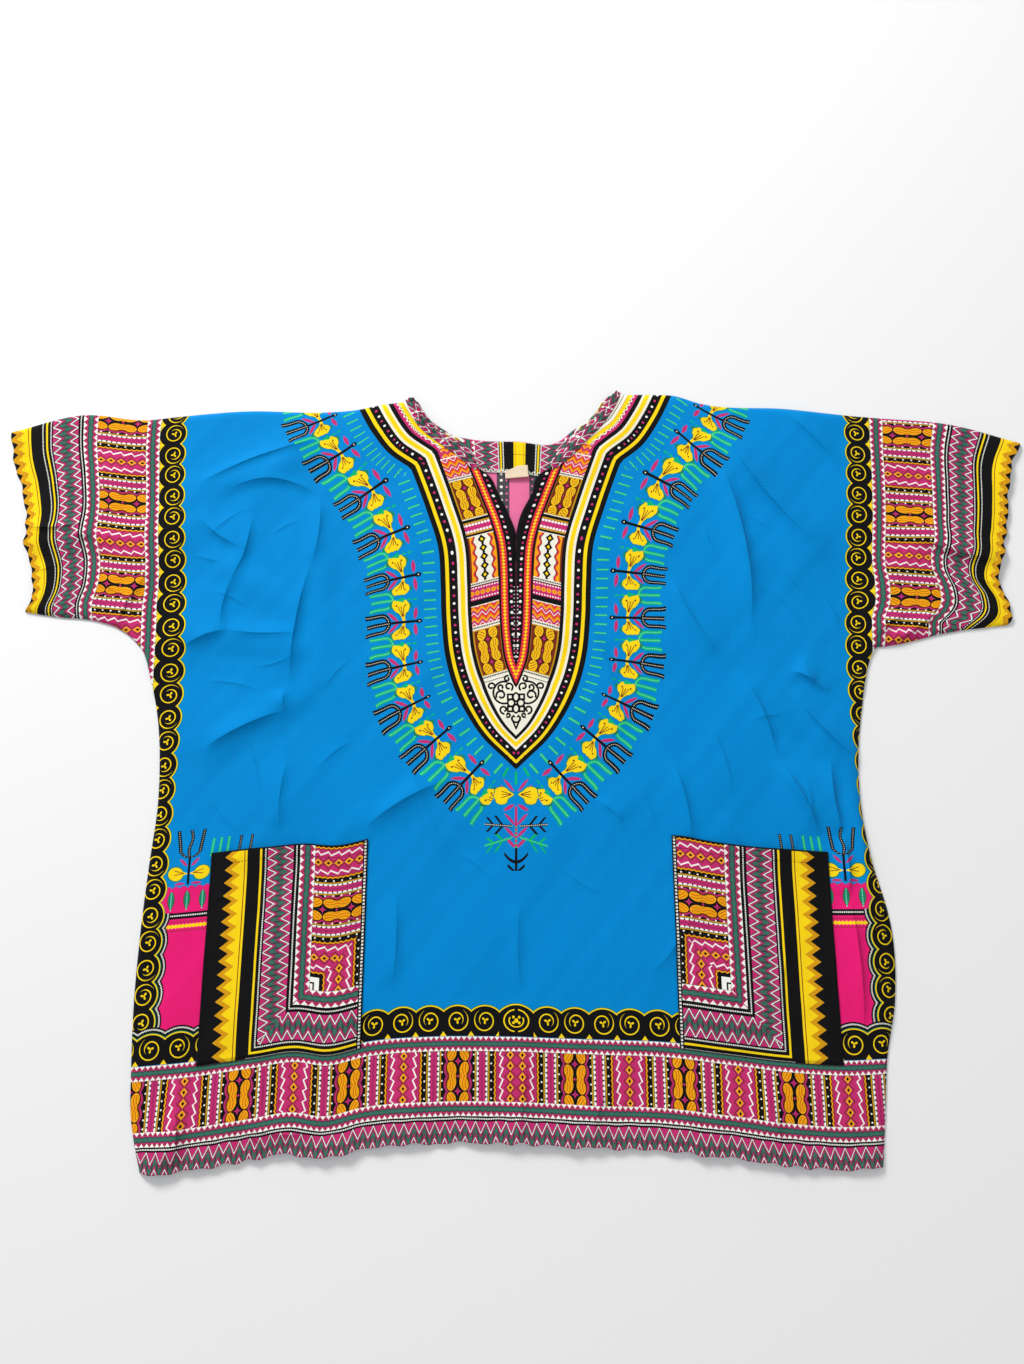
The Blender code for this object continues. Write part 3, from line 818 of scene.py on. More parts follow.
@dataclass(frozen=True)
class CorneredOutline:
    """Two outlines that meet in a sharp corner, each run on past it."""

    lower: Outline
    upper: Outline
    corner: tuple[float, float]

    @property
    def corner_along(self) -> float:
        """How far along the lower outline the corner lies."""
        return float(self.lower.measure(*(np.array([place]) for place in self.corner))[0][0])

    def measure(self, out: Array, up: Array) -> tuple[Array, Array]:
        """Measure points from whichever outline bounds them, so that bands meet in a mitre."""
        low_along, low_away = self.lower.measure(out, up)
        high_along, high_away = self.upper.measure(out, up)
        spot = tuple(np.array([place]) for place in self.corner)
        carried = self.corner_along - self.upper.measure(*spot)[0]
        high = high_away < low_away
        along = np.where(high, high_along + carried, low_along)
        return along, np.where(high, high_away, low_away)


NECK = CorneredOutline(
    lower=Outline(
        points=(
            (0.0, 0.3563), (0.0132, 0.3684), (0.0346, 0.3883), (0.0535, 0.4149), (0.0681, 0.4438),
            (0.0774, 0.4764), (0.082, 0.52), (0.0832, 0.56), (0.0855, 0.6), (0.098, 0.645), (0.11, 0.682),
            (0.1155, 0.698), (0.1345, 0.755),
        )
    ),
    upper=Outline(
        points=(
            (0.0767, 0.666), (0.096, 0.682), (0.1155, 0.698), (0.139, 0.718), (0.157, 0.746),
            (0.172, 0.778), (0.178, 0.792),
        )
    ),
    corner=(0.1155, 0.6980),
)
RING = RingLine(
    points=(
        (0.0, 0.0, 0.315), (0.018, 0.016, 0.3235), (0.06, 0.048, 0.351), (0.106, 0.085, 0.389),
        (0.152, 0.111, 0.427), (0.198, 0.1215, 0.47), (0.244, 0.123, 0.518), (0.29, 0.124, 0.569),
        (0.336, 0.1353, 0.622), (0.382, 0.1575, 0.678), (0.428, 0.192, 0.729), (0.474, 0.215, 0.77),
        (0.52, 0.23, 0.812),
    )
)
SLIT = Outline(
    points=(
        (0.0, 0.4446), (0.006, 0.4585), (0.0109, 0.4718), (0.015, 0.4974), (0.0172, 0.538),
        (0.018, 0.575), (0.0202, 0.606), (0.0259, 0.63), (0.0359, 0.658), (0.051, 0.698), (0.064, 0.731),
        (0.08, 0.77), (0.085, 0.782),
    ),
    offset=0.0,
)


# ---------------------------------------------------------------------------
# Pieces
# ---------------------------------------------------------------------------

PRINT_MAP = "print"
NECK_MAP = "neck"
SLIT_MAP = "slit"
RING_MAP = "ring"
CREASE_NAME = "crease"
BAKE_MAP = "OFBake"
BAKE_SPAN = 0.998
BAKE_RIM = 0.001
# height that the large and small layouts share, as a multiple of the large one's
BAKE_SHARE = 1.36
# how far a face has to look up or down to count as turned that way
LEVEL = 0.05


def read_counts(items: bpy.types.bpy_prop_collection, what: str) -> Array:
    """Read a whole number of every item."""
    values = np.empty(len(items), dtype=np.int32)
    items.foreach_get(what, values)
    return values


def read_values(items: bpy.types.bpy_prop_collection, what: str, width: int = 1) -> Array:
    """Read one or more values of every item, a row for each."""
    values = np.empty(len(items) * width, dtype=np.float32)
    items.foreach_get(what, values)
    return values.reshape(-1, width)


def add_map(mesh: bpy.types.Mesh, name: str, pairs: Array) -> None:
    """Add a UV map from one pair of values for each corner of the faces."""
    layer = mesh.uv_layers.new(name=name)
    layer.uv.foreach_set("vector", pairs.astype(np.float32).ravel())


def set_map(thing: bpy.types.Object, name: str, u: Array, v: Array) -> None:
    """Add a UV map from one pair of values for each point of the mesh."""
    corner = read_counts(thing.data.loops, "vertex_index")
    add_map(thing.data, name, np.stack([u[corner], v[corner]], axis=1))


def set_creases(thing: bpy.types.Object, layers: list[Array]) -> None:
    """Keep each layer of crisp creases on the mesh's points, for the finish to read."""
    for index, layer in enumerate(layers):
        kept = thing.data.attributes.new(f"{CREASE_NAME}_{index}", "FLOAT_VECTOR", "POINT")
        kept.data.foreach_set("vector", layer.astype(np.float32).ravel())


def point_values(thing: bpy.types.Object, name: str) -> Array:
    """Read a named value of every point."""
    return read_values(thing.data.attributes[name].data, "value")[:, 0].astype(float)


def face_lifts(thing: bpy.types.Object) -> Array:
    """How far each face looks up: 1 straight up, -1 straight down."""
    return read_values(thing.data.polygons, "normal", 3)[:, 2].astype(float)


def face_means(thing: bpy.types.Object, values: Array) -> Array:
    """Average a value of the points over each face."""
    mesh = thing.data
    corner = read_counts(mesh.loops, "vertex_index")
    start = read_counts(mesh.polygons, "loop_start")
    return np.add.reduceat(values[corner], start) / read_counts(mesh.polygons, "loop_total")


def set_bake_map(thing: bpy.types.Object, outer_up: bool) -> None:
    """Lay the piece out for baking: the outer faces large, the hidden ones small below them."""
    mesh = thing.data
    places = read_values(mesh.vertices, "co", 3)[:, :2]
    low = places.min(axis=0)
    flat = (places - low) / float((places.max(axis=0) - low).max())
    height = float(flat[:, 1].max())
    lift = face_lifts(thing)
    hidden = lift < -LEVEL if outer_up else lift > LEVEL
    corner = read_counts(mesh.loops, "vertex_index")
    face = np.repeat(np.arange(len(mesh.polygons)), read_counts(mesh.polygons, "loop_total"))
    main = min(BAKE_SPAN, BAKE_SPAN / (height * BAKE_SHARE))
    large = flat[corner] * main + np.array([BAKE_RIM, 1.0 - BAKE_RIM - height * main])
    small = flat[corner] * ((BAKE_SPAN - height * main) / height * 0.98) + BAKE_RIM
    add_map(mesh, BAKE_MAP, np.where(hidden[face][:, None], small, large))


def dress(thing: bpy.types.Object, finishes: Sequence[bpy.types.Material], choice: Array) -> None:
    """Give each face its material.

    Args:
        thing: The piece.
        finishes: Its materials, in slot order.
        choice: For each face, which of them.
    """
    for finish in finishes:
        thing.data.materials.append(finish)
    thing.data.polygons.foreach_set("material_index", choice.astype(np.int32))
    thing.data.update()


# ---------------------------------------------------------------------------
# Material sketching
# ---------------------------------------------------------------------------


class Term:
    """A number in a material, worked out by nodes."""

    def __init__(self, sketch: "Sketch", source: bpy.types.NodeSocket | float) -> None:
        """Hold a socket or a plain number."""
        self.sketch = sketch
        self.source = source

    def math(self, operation: str, *others: "Term | float") -> "Term":
        """Join this number with others in one Math node."""
        node = self.sketch.tree.nodes.new("ShaderNodeMath")
        node.operation = operation
        for socket, value in zip(node.inputs, (self, *others)):
            source = value.source if isinstance(value, Term) else value
            if isinstance(source, (int, float)):
                socket.default_value = float(source)
            else:
                self.sketch.tree.links.new(source, socket)
        return Term(self.sketch, node.outputs[0])

    def __add__(self, other: "Term | float") -> "Term":
        """Sum."""
        return self.math("ADD", other)

    def __sub__(self, other: "Term | float") -> "Term":
        """Difference."""
        return self.math("SUBTRACT", other)

    def __rsub__(self, other: float) -> "Term":
        """Difference from a plain number."""
        return Term(self.sketch, float(other)).math("SUBTRACT", self)

    def __mul__(self, other: "Term | float") -> "Term":
        """Product."""
        return self.math("MULTIPLY", other)

    def __lt__(self, other: "Term | float") -> "Term":
        """One where this is the smaller."""
        return self.math("LESS_THAN", other)

    def __gt__(self, other: "Term | float") -> "Term":
        """One where this is the larger."""
        return self.math("GREATER_THAN", other)

    def __and__(self, other: "Term") -> "Term":
        """One where both masks are."""
        return self.math("MULTIPLY", other)

    def __or__(self, other: "Term") -> "Term":
        """One where either mask is."""
        return self.math("MAXIMUM", other)

    def __abs__(self) -> "Term":
        """Size without the sign."""
        return self.math("ABSOLUTE")

    def within(self, low: float, high: float) -> "Term":
        """One between two values."""
        half = (high - low) / 2.0
        return self.math("COMPARE", low + half, half)

    def mirror(self, half: float) -> "Term":
        """Run up and down between nothing and half, again and again."""
        return self.math("PINGPONG", half)

    def repeat(self, period: float) -> "Term":
        """Run from nothing to the period, again and again."""
        return self.math("WRAP", period, 0.0)

    def least(self, other: "Term | float") -> "Term":
        """The smaller of two."""
        return self.math("MINIMUM", other)

    def most(self, other: "Term | float") -> "Term":
        """The larger of two."""
        return self.math("MAXIMUM", other)

    def sine(self) -> "Term":
        """Sine."""
        return self.math("SINE")

    def flip(self) -> "Term":
        """Turn a mask round."""
        return self.math("LESS_THAN", 0.5)


class Sketch:
    """A material in the making: its coordinates, and colour laid over colour."""

    def __init__(self, name: str, base: Colour) -> None:
        """Start a material whose cloth is one colour.

        Args:
            name: The material's name.
            base: The ground colour.
        """
        self.material = bpy.data.materials.new(name)
        self.material.use_nodes = True
        self.tree = self.material.node_tree
        self.tree.nodes.clear()
        self.colour: bpy.types.NodeSocket | Colour = base

    def add(self, kind: str, inputs: "dict[str, Input]") -> bpy.types.Node:
        """Add a node and fill its inputs with numbers or links."""
        node = self.tree.nodes.new("ShaderNode" + kind)
        for name, value in inputs.items():
            source = value.source if isinstance(value, Term) else value
            if isinstance(source, bpy.types.NodeSocket):
                self.tree.links.new(source, node.inputs[name])
            else:
                node.inputs[name].default_value = source
        return node

    def uv(self, name: str) -> bpy.types.NodeSocket:
        """Read a UV map."""
        node = self.add("UVMap", {})
        node.uv_map = name
        return node.outputs[0]

    def split(self, vector: bpy.types.NodeSocket) -> tuple[Term, Term]:
        """Take the first two values out of a vector."""
        node = self.add("SeparateXYZ", {"Vector": vector})
        return Term(self, node.outputs[0]), Term(self, node.outputs[1])

    def millimetres(self, name: str) -> tuple[Term, Term]:
        """Read the two values of a UV map in millimetres."""
        first, second = self.split(self.uv(name))
        return first * MM_PER_METRE, second * MM_PER_METRE

    def distance(self, x: Term, y: Term) -> Term:
        """Distance of a point from where both values are nothing."""
        square = x * x
        return square.math("ADD", y * y).math("SQRT")

    def lay(self, colour: Colour, mask: Term) -> None:
        """Lay a colour over what is there, where the mask is one."""
        mix = self.mix()
        self.tree.links.new(mask.source, mix.inputs[MIX_SHARE])
        mix.inputs[MIX_OVER].default_value = (*colour, 1.0)
        self.colour = mix.outputs[MIX_COLOUR]

    def mix(self) -> bpy.types.Node:
        """Start a Mix node over the colour that is there."""
        mix = self.add("Mix", {})
        mix.data_type = "RGBA"
        if isinstance(self.colour, tuple):
            mix.inputs[MIX_UNDER].default_value = (*self.colour, 1.0)
        else:
            self.tree.links.new(self.colour, mix.inputs[MIX_UNDER])
        return mix

    def noise(self, vector: bpy.types.NodeSocket, scale: float, detail: float) -> Term:
        """Read soft noise at a place."""
        node = self.add("TexNoise", {"Scale": scale, "Detail": detail, "Vector": vector})
        return Term(self, node.outputs[0])

    def stretched(self, space: str, stretch: tuple[float, float, float]) -> bpy.types.NodeSocket:
        """Read a UV map, or the piece's own space, stretched along its axes."""
        own = space == OBJECT_SPACE
        source = self.add("TexCoord", {}).outputs["Object"] if own else self.uv(space)
        return self.add("Mapping", {"Scale": stretch, "Vector": source}).outputs[0]

    def finish(self, cloth: "ClothFinish") -> bpy.types.Material:
        """Close the material as woven cloth.

        Args:
            cloth: The cloth's surface.

        Returns:
            The material.
        """
        long = cloth.slub_length
        warp = self.noise(self.stretched(cloth.space, (cloth.slub, long, long)), 1.0, 2.0)
        weft = self.noise(self.stretched(cloth.space, (long, cloth.slub, long)), 1.0, 2.0)
        patch = self.noise(self.stretched(cloth.space, (1.0, 1.0, 1.0)), 7.0, 3.0)
        tone = (warp + weft) * cloth.streaks + patch * cloth.mottle
        tone = tone + (1.0 - cloth.streaks - 0.5 * cloth.mottle)
        shade = self.mix()
        shade.blend_type = "MULTIPLY"
        shade.inputs[MIX_SHARE].default_value = 1.0
        self.tree.links.new(tone.source, shade.inputs[MIX_OVER])
        weave = {
            "Normal": self.creased(cloth),
            "Strength": cloth.relief,
            "Distance": cloth.thread_depth,
            "Height": self.threads(cloth) + (warp + weft) * 0.8,
        }
        skin = {
            "Sheen Weight": cloth.sheen,
            "Sheen Roughness": 0.4,
            "Specular IOR Level": cloth.gloss,
            "Base Color": shade.outputs[MIX_COLOUR],
            "Roughness": patch * 0.14 + (cloth.roughness - 0.07),
            "Normal": self.add("Bump", weave).outputs[0],
        }
        surface = self.add("BsdfPrincipled", skin)
        self.add("OutputMaterial", {"Surface": surface.outputs[0]})
        return self.material

    def creased(self, cloth: "ClothFinish") -> bpy.types.NodeSocket:
        """Tilt the surface at the crisp creases and at a faint crumple."""
        place = self.stretched(OBJECT_SPACE, (1.0, 1.0, 0.0))
        crumple = self.add("TexNoise", {})
        crumple.noise_type = "RIDGED_MULTIFRACTAL"
        crumple.inputs["Scale"].default_value = cloth.crumple_scale
        crumple.inputs["Detail"].default_value = 2.0
        self.tree.links.new(place, crumple.inputs["Vector"])
        height = Term(self, crumple.outputs[0]) * cloth.crumple
        for index in range(FOLDS.crisp_count if cloth.creases else 0):
            layer = self.add("Attribute", {})
            layer.attribute_name = f"{CREASE_NAME}_{index}"
            lee, rise = self.split(layer.outputs["Vector"])
            away = (lee * (1.0 / cloth.lee_width)).most(lee * (-1.0 / cloth.slow_width))
            height = height + (away * -1.0).math("EXPONENT") * rise
        return self.add("Bump", {"Strength": 1.0, "Distance": 1.0, "Height": height}).outputs[0]

    def threads(self, cloth: "ClothFinish") -> Term:
        """Height of a plain weave: warp and weft ribs that pass over each other by turns."""
        turn = math.pi / cloth.thread_pitch
        across, along = self.split(self.stretched(cloth.space, (turn, turn, turn)))
        return abs(across.sine() * along.sine())


Input = Term | bpy.types.NodeSocket | float | Sequence[float]
MIX_SHARE, MIX_UNDER, MIX_OVER, MIX_COLOUR = 0, 6, 7, 2
OBJECT_SPACE = "object"


@dataclass(frozen=True)
class ClothFinish:
    """The surface of a woven cloth."""

    space: str = PRINT_MAP
    roughness: float = 0.82
    gloss: float = 0.07
    sheen: float = 0.02
    slub: float = 700.0
    slub_length: float = 9.0
    streaks: float = 0.10
    mottle: float = 0.05
    thread_pitch: float = 0.0005
    thread_depth: float = 0.0002
    relief: float = 0.35
    creases: bool = False
    crumple: float = 0.0080
    crumple_scale: float = 7.0
    lee_width: float = 0.0024
    slow_width: float = 0.0075


def tint(red: int, green: int, blue: int) -> Colour:
    """Turn a dye, named as it looks on screen from 0 to 255, into light shares."""
    shares = (value / 255.0 for value in (red, green, blue))
    return tuple(c / 12.92 if c <= 0.04045 else ((c + 0.055) / 1.055) ** 2.4 for c in shares)


@dataclass(frozen=True)
class Dyes:
    """The print's colours."""

    blue: Colour = tint(0, 134, 207)
    black: Colour = tint(18, 18, 20)
    yellow: Colour = tint(250, 214, 24)
    gold: Colour = tint(243, 165, 22)
    orange: Colour = tint(222, 104, 20)
    ochre: Colour = tint(196, 148, 24)
    magenta: Colour = tint(196, 48, 112)
    pink: Colour = tint(232, 30, 116)
    red: Colour = tint(222, 46, 66)
    brown: Colour = tint(124, 46, 28)
    white: Colour = tint(246, 246, 238)
    cream: Colour = tint(240, 236, 220)
    slate: Colour = tint(58, 66, 66)
    green: Colour = tint(28, 128, 98)
    moss: Colour = tint(58, 112, 96)
    plum: Colour = tint(150, 40, 92)
    bright_green: Colour = tint(10, 178, 110)
    mint: Colour = tint(120, 226, 190)
    wrong_pink: Colour = tint(233, 116, 160)
    wrong_blue: Colour = tint(70, 150, 205)
    # painted shadow: the dark band on each side of the middle of the back's wrong side
    shadow_band_grey: Colour = tint(78, 74, 82)
    grey: Colour = tint(158, 156, 152)
    tape: Colour = tint(229, 208, 180)
    amber: Colour = tint(246, 190, 26)
    russet: Colour = tint(186, 92, 16)


DYES = Dyes()


# ---------------------------------------------------------------------------
# The print's motifs. Lengths are millimetres of cloth.
# ---------------------------------------------------------------------------


@dataclass(frozen=True)
class Tooth:
    """A band of white teeth on both edges and green diamonds along its middle."""

    width: float
    period: float

    def draw(self, sk: Sketch, w: Term, t: Term) -> None:
        """Draw the band.

        Args:
            sk: The material.
            w: Distance across the band.
            t: Distance along it.
        """
        inside = w.within(0.0, self.width)
        tri = t.mirror(self.period / 2.0) * (2.0 / self.period)
        middle = abs(w - self.width / 2.0) * (2.0 / self.width)
        sk.lay(DYES.magenta, inside)
        sk.lay(DYES.brown, inside & (abs(middle - tri * 0.14 - 0.56) < 0.06))
        sk.lay(DYES.slate, inside & (middle + tri * 0.12 < 0.44))
        sk.lay(DYES.moss, inside & (middle + tri * 0.16 < 0.30))
        sk.lay(DYES.black, inside & (middle + tri * 0.34 > 0.92))
        sk.lay(DYES.white, inside & (middle + tri * 0.50 > 0.99) & (middle < 0.97))


@dataclass(frozen=True)
class DottedLine:
    """A black line with close white dots along its middle."""

    low: float
    high: float
    pitch: float = 1.7

    def draw(self, sk: Sketch, w: Term, t: Term) -> None:
        """Draw the line across w, running along t."""
        middle = (self.low + self.high) / 2.0
        sk.lay(DYES.black, w.within(self.low, self.high))
        dots = (abs(w - middle) < 0.62) & (t.repeat(self.pitch) < 0.66 * self.pitch)
        sk.lay(DYES.white, dots)


@dataclass(frozen=True)
class Zigzag:
    """A band of parallel zigzags between two white ones."""

    low: float
    high: float
    period: float = 10.5
    swing: float = 9.0

    def draw(self, sk: Sketch, w: Term, t: Term) -> None:
        """Draw the band across w, running along t."""
        inside = w.within(self.low, self.high)
        tri = t.mirror(self.period / 2.0) * (2.0 * self.swing / self.period)
        level = w - tri - self.low
        span = self.high - self.low - self.swing
        deep = level.least(span - level) * (20.0 / span)
        sk.lay(DYES.magenta, inside)
        sk.lay(DYES.slate, inside & deep.within(-2.6, -0.6))
        sk.lay(DYES.white, inside & deep.within(-0.9, 1.1))
        sk.lay(DYES.slate, inside & (deep > 1.1))
        sk.lay(DYES.magenta, inside & deep.within(2.1, 4.4))
        sk.lay(DYES.plum, inside & deep.within(5.4, 6.2))
        corner = abs(tri * (1.0 / self.swing) - 0.5) > 0.16
        sk.lay(DYES.moss, inside & (deep > 6.6) & corner)


@dataclass(frozen=True)
class Frieze:
    """A band of cells by turns: butterflies, lace strips and chains of diamonds."""

    width: float
    half: float = 54.0
    middle_width: float = 45.0

    def draw(self, sk: Sketch, inside: Term, away: Term, w: Term, chain: Term) -> None:
        """Draw the cells.

        Args:
            sk: The material.
            inside: Mask of the band.
            away: Distance along the band from the nearest butterfly's middle.
            w: Distance across the band from its middle.
            chain: Distance along the band from the nearest chain of diamonds.
        """
        w = w * (self.middle_width / self.width)
        side = abs(w)
        sk.lay(DYES.black, inside)
        self.butterfly(sk, inside, away, side)
        self.dots(sk, inside, away, w)
        self.lace(sk, inside, away, w)
        self.diamonds(sk, inside, away, w, chain)

    def butterfly(self, sk: Sketch, inside: Term, away: Term, side: Term) -> None:
        """Draw two columns of golden lobes with stars between them."""
        near = abs(side - 6.6).least(abs(side - 20.4))
        centre = (side.least(abs(side - 26.8))).least(12.0) * 0.16 + 5.1
        inner = abs(away - centre)
        body = sk.distance(near * (1.0 / 6.4), inner * (1.0 / 4.4))
        waist = (side < 7.0) & (inner < 3.3)
        edge = near * near * 0.055 + away
        sk.lay(DYES.plum, inside & (edge < 14.2))
        sk.lay(DYES.magenta, inside & (edge < 13.4))
        sk.lay(DYES.brown, inside & (edge < 12.2))
        sk.lay(DYES.black, inside & ((body < 1.16) | (away < centre)))
        sk.lay(DYES.gold, inside & ((body < 1.0) | waist))
        arc = (sk.distance((side - 6.6) * 0.8, away - 12.6)).repeat(2.5)
        carved = (body < 0.82) | (waist & (inner < 2.6))
        sk.lay(DYES.russet, inside & (arc < 0.7) & carved & (side < 13.0))
        ray = (away * 0.8 + (side - 20.0) * 0.5).repeat(2.5)
        sk.lay(DYES.russet, inside & (body < 0.80) & (ray < 0.7) & (side > 13.5))
        star = away.math("SQRT") + abs(side - 13.5).math("SQRT")
        small = away.math("SQRT") + side.math("SQRT")
        sk.lay(DYES.magenta, inside & ((star < 2.2) | (small < 1.5)))
        sk.lay(DYES.plum, inside & (sk.distance(away, side - 13.5) < 0.8))

    def dots(self, sk: Sketch, inside: Term, away: Term, w: Term) -> None:
        """Draw the rows of white dots on both sides of the lace."""
        step = abs(w.repeat(7.8) - 3.9)
        first = sk.distance(step, away - 0.292 * self.half)
        second = sk.distance(step, away - 0.612 * self.half)
        sk.lay(DYES.white, inside & (first.least(second) < 0.85))

    def lace(self, sk: Sketch, inside: Term, away: Term, w: Term) -> None:
        """Draw a strip of lace: ochre edges and white scallops on magenta."""
        across = abs(away - 0.444 * self.half)
        strip = across < 0.135 * self.half
        loops = sk.distance(w.repeat(4.6) - 2.3, (across - 0.102 * self.half) * 0.9)
        sk.lay(DYES.ochre, inside & strip)
        sk.lay(DYES.black, inside & (across < 0.108 * self.half))
        sk.lay(DYES.white, inside & (loops < 2.0) & (across < 0.100 * self.half))
        sk.lay(DYES.magenta, inside & (across < 0.060 * self.half))
        weave = (w.mirror(2.3) * 0.5 - across).math("ABSOLUTE") < 0.40
        sk.lay(DYES.plum, inside & weave & (across < 0.056 * self.half))

    def diamonds(self, sk: Sketch, inside: Term, away: Term, w: Term, chain: Term) -> None:
        """Draw a chain of diamonds between hooked white lines, with scalloped golden edges."""
        scallop = (w.mirror(4.9) * (math.pi / 4.9)).sine() * 0.9
        outer = away - scallop * 1.2 - 0.655 * self.half
        sk.lay(DYES.gold, inside & (outer > 0.0))
        sk.lay(DYES.brown, inside & (outer > 1.3))
        sk.lay(DYES.magenta, inside & (outer > 2.4))
        sk.lay(DYES.plum, inside & (abs(outer - 4.4) < 0.4))
        step = w.repeat(9.8)
        ramp = (step * (1.0 / 7.4)).least((9.8 - step) * (1.0 / 2.4))
        hook = abs(away - ramp * 3.4 - 0.765 * self.half)
        sk.lay(DYES.white, inside & (hook < 0.8))
        link = w.mirror(4.9)
        cell = chain * 1.25 + link
        sk.lay(DYES.brown, inside & (abs(chain * 0.95 + link - 5.4) < 0.7) & (chain < 6.2))
        sk.lay(DYES.gold, inside & (cell < 4.3))
        sk.lay(DYES.black, inside & (cell < 1.9))


@dataclass(frozen=True)
class Scroll:
    """A band of golden spirals on black, scalloped on the side of the plain cloth."""

    pitch: float
    middle: float
    top: float
    sagitta: float
    coil_reach: float = 11.0

    @property
    def scallop(self) -> float:
        """Radius of the scallops."""
        half = self.pitch / 2.0
        return (half * half + self.sagitta * self.sagitta) / (2.0 * self.sagitta)

    def draw(self, sk: Sketch, w: Term, t: Term, braid: Term | None = None) -> None:
        """Draw the band.

        Args:
            sk: The material.
            w: Distance across the band from its straight side.
            t: Distance along it from a junction of two spirals.
            braid: Mask of where a dotted black edge runs outside the scallops.
        """
        x = t.repeat(self.pitch) - self.pitch / 2.0
        arch = sk.distance(x, w - (self.top - self.scallop)) - self.scallop
        band = w > 0.0
        if braid is not None:
            sk.lay(DYES.black, band & braid & (arch < 6.0))
            sk.lay(DYES.white, band & braid & (abs(arch - 3.7) < 0.75) & ((t + w).repeat(1.9) < 1.2))
        sk.lay(DYES.green, band & (arch < 0.8))
        sk.lay(DYES.yellow, band & (arch < 0.0))
        sk.lay(DYES.black, band & (arch < -1.15))
        turn = (t * (1.0 / self.pitch)).repeat(2.0) < 1.0
        x = x * (turn * 2.0 - 1.0)
        y = w - self.middle
        reach = sk.distance(x, y)
        angle = y.math("ARCTAN2", x)
        coil = (reach - angle * (5.2 / (2.0 * math.pi)) + 0.3).repeat(5.2)
        sk.lay(DYES.yellow, band & (coil < 1.2) & reach.within(5.4, self.coil_reach))
        petal = (angle * 1.5 + 0.6).sine()
        sk.lay(DYES.yellow, reach < petal * petal * 3.6)
        wedge = (t + self.pitch / 2.0).repeat(self.pitch) - self.pitch / 2.0
        sk.lay(DYES.yellow, band & (w + abs(wedge) * 1.35 < 4.4))


@dataclass(frozen=True)
class CuffBand:
    """The edge band: stripes, plain black, and yellow with hatched teeth."""

    start: float
    finish: float

    def draw(self, sk: Sketch, w: Term, t: Term) -> None:
        """Draw the band across w, running along t."""
        at = w - self.start
        self.stripes(sk, at, t)
        edge = self.finish - self.start - at
        sk.lay(DYES.yellow, at > 25.5)
        sk.lay(DYES.brown, abs(at - 28.4) < 0.45)
        tooth = t.mirror(6.25) * 1.35
        peak = edge + tooth
        sk.lay(DYES.ochre, (at > 29.5) & (peak < 14.5))
        hatch = (at + t * 0.35).repeat(1.7) < 0.6
        sk.lay(DYES.gold, (at > 29.5) & (peak < 14.5) & hatch)
        sk.lay(DYES.black, peak < 6.5)

    def stripes(self, sk: Sketch, at: Term, t: Term) -> None:
        """Draw a yellow stripe between two dotted ones, on black."""
        sk.lay(DYES.black, at > 0.0)
        dots = (abs(at - 2.2) < 0.62) | (abs(at - 11.6) < 0.62)
        sk.lay(DYES.white, dots & (t.repeat(1.7) < 1.1))
        sk.lay(DYES.yellow, abs(at - 6.9) < 1.05)


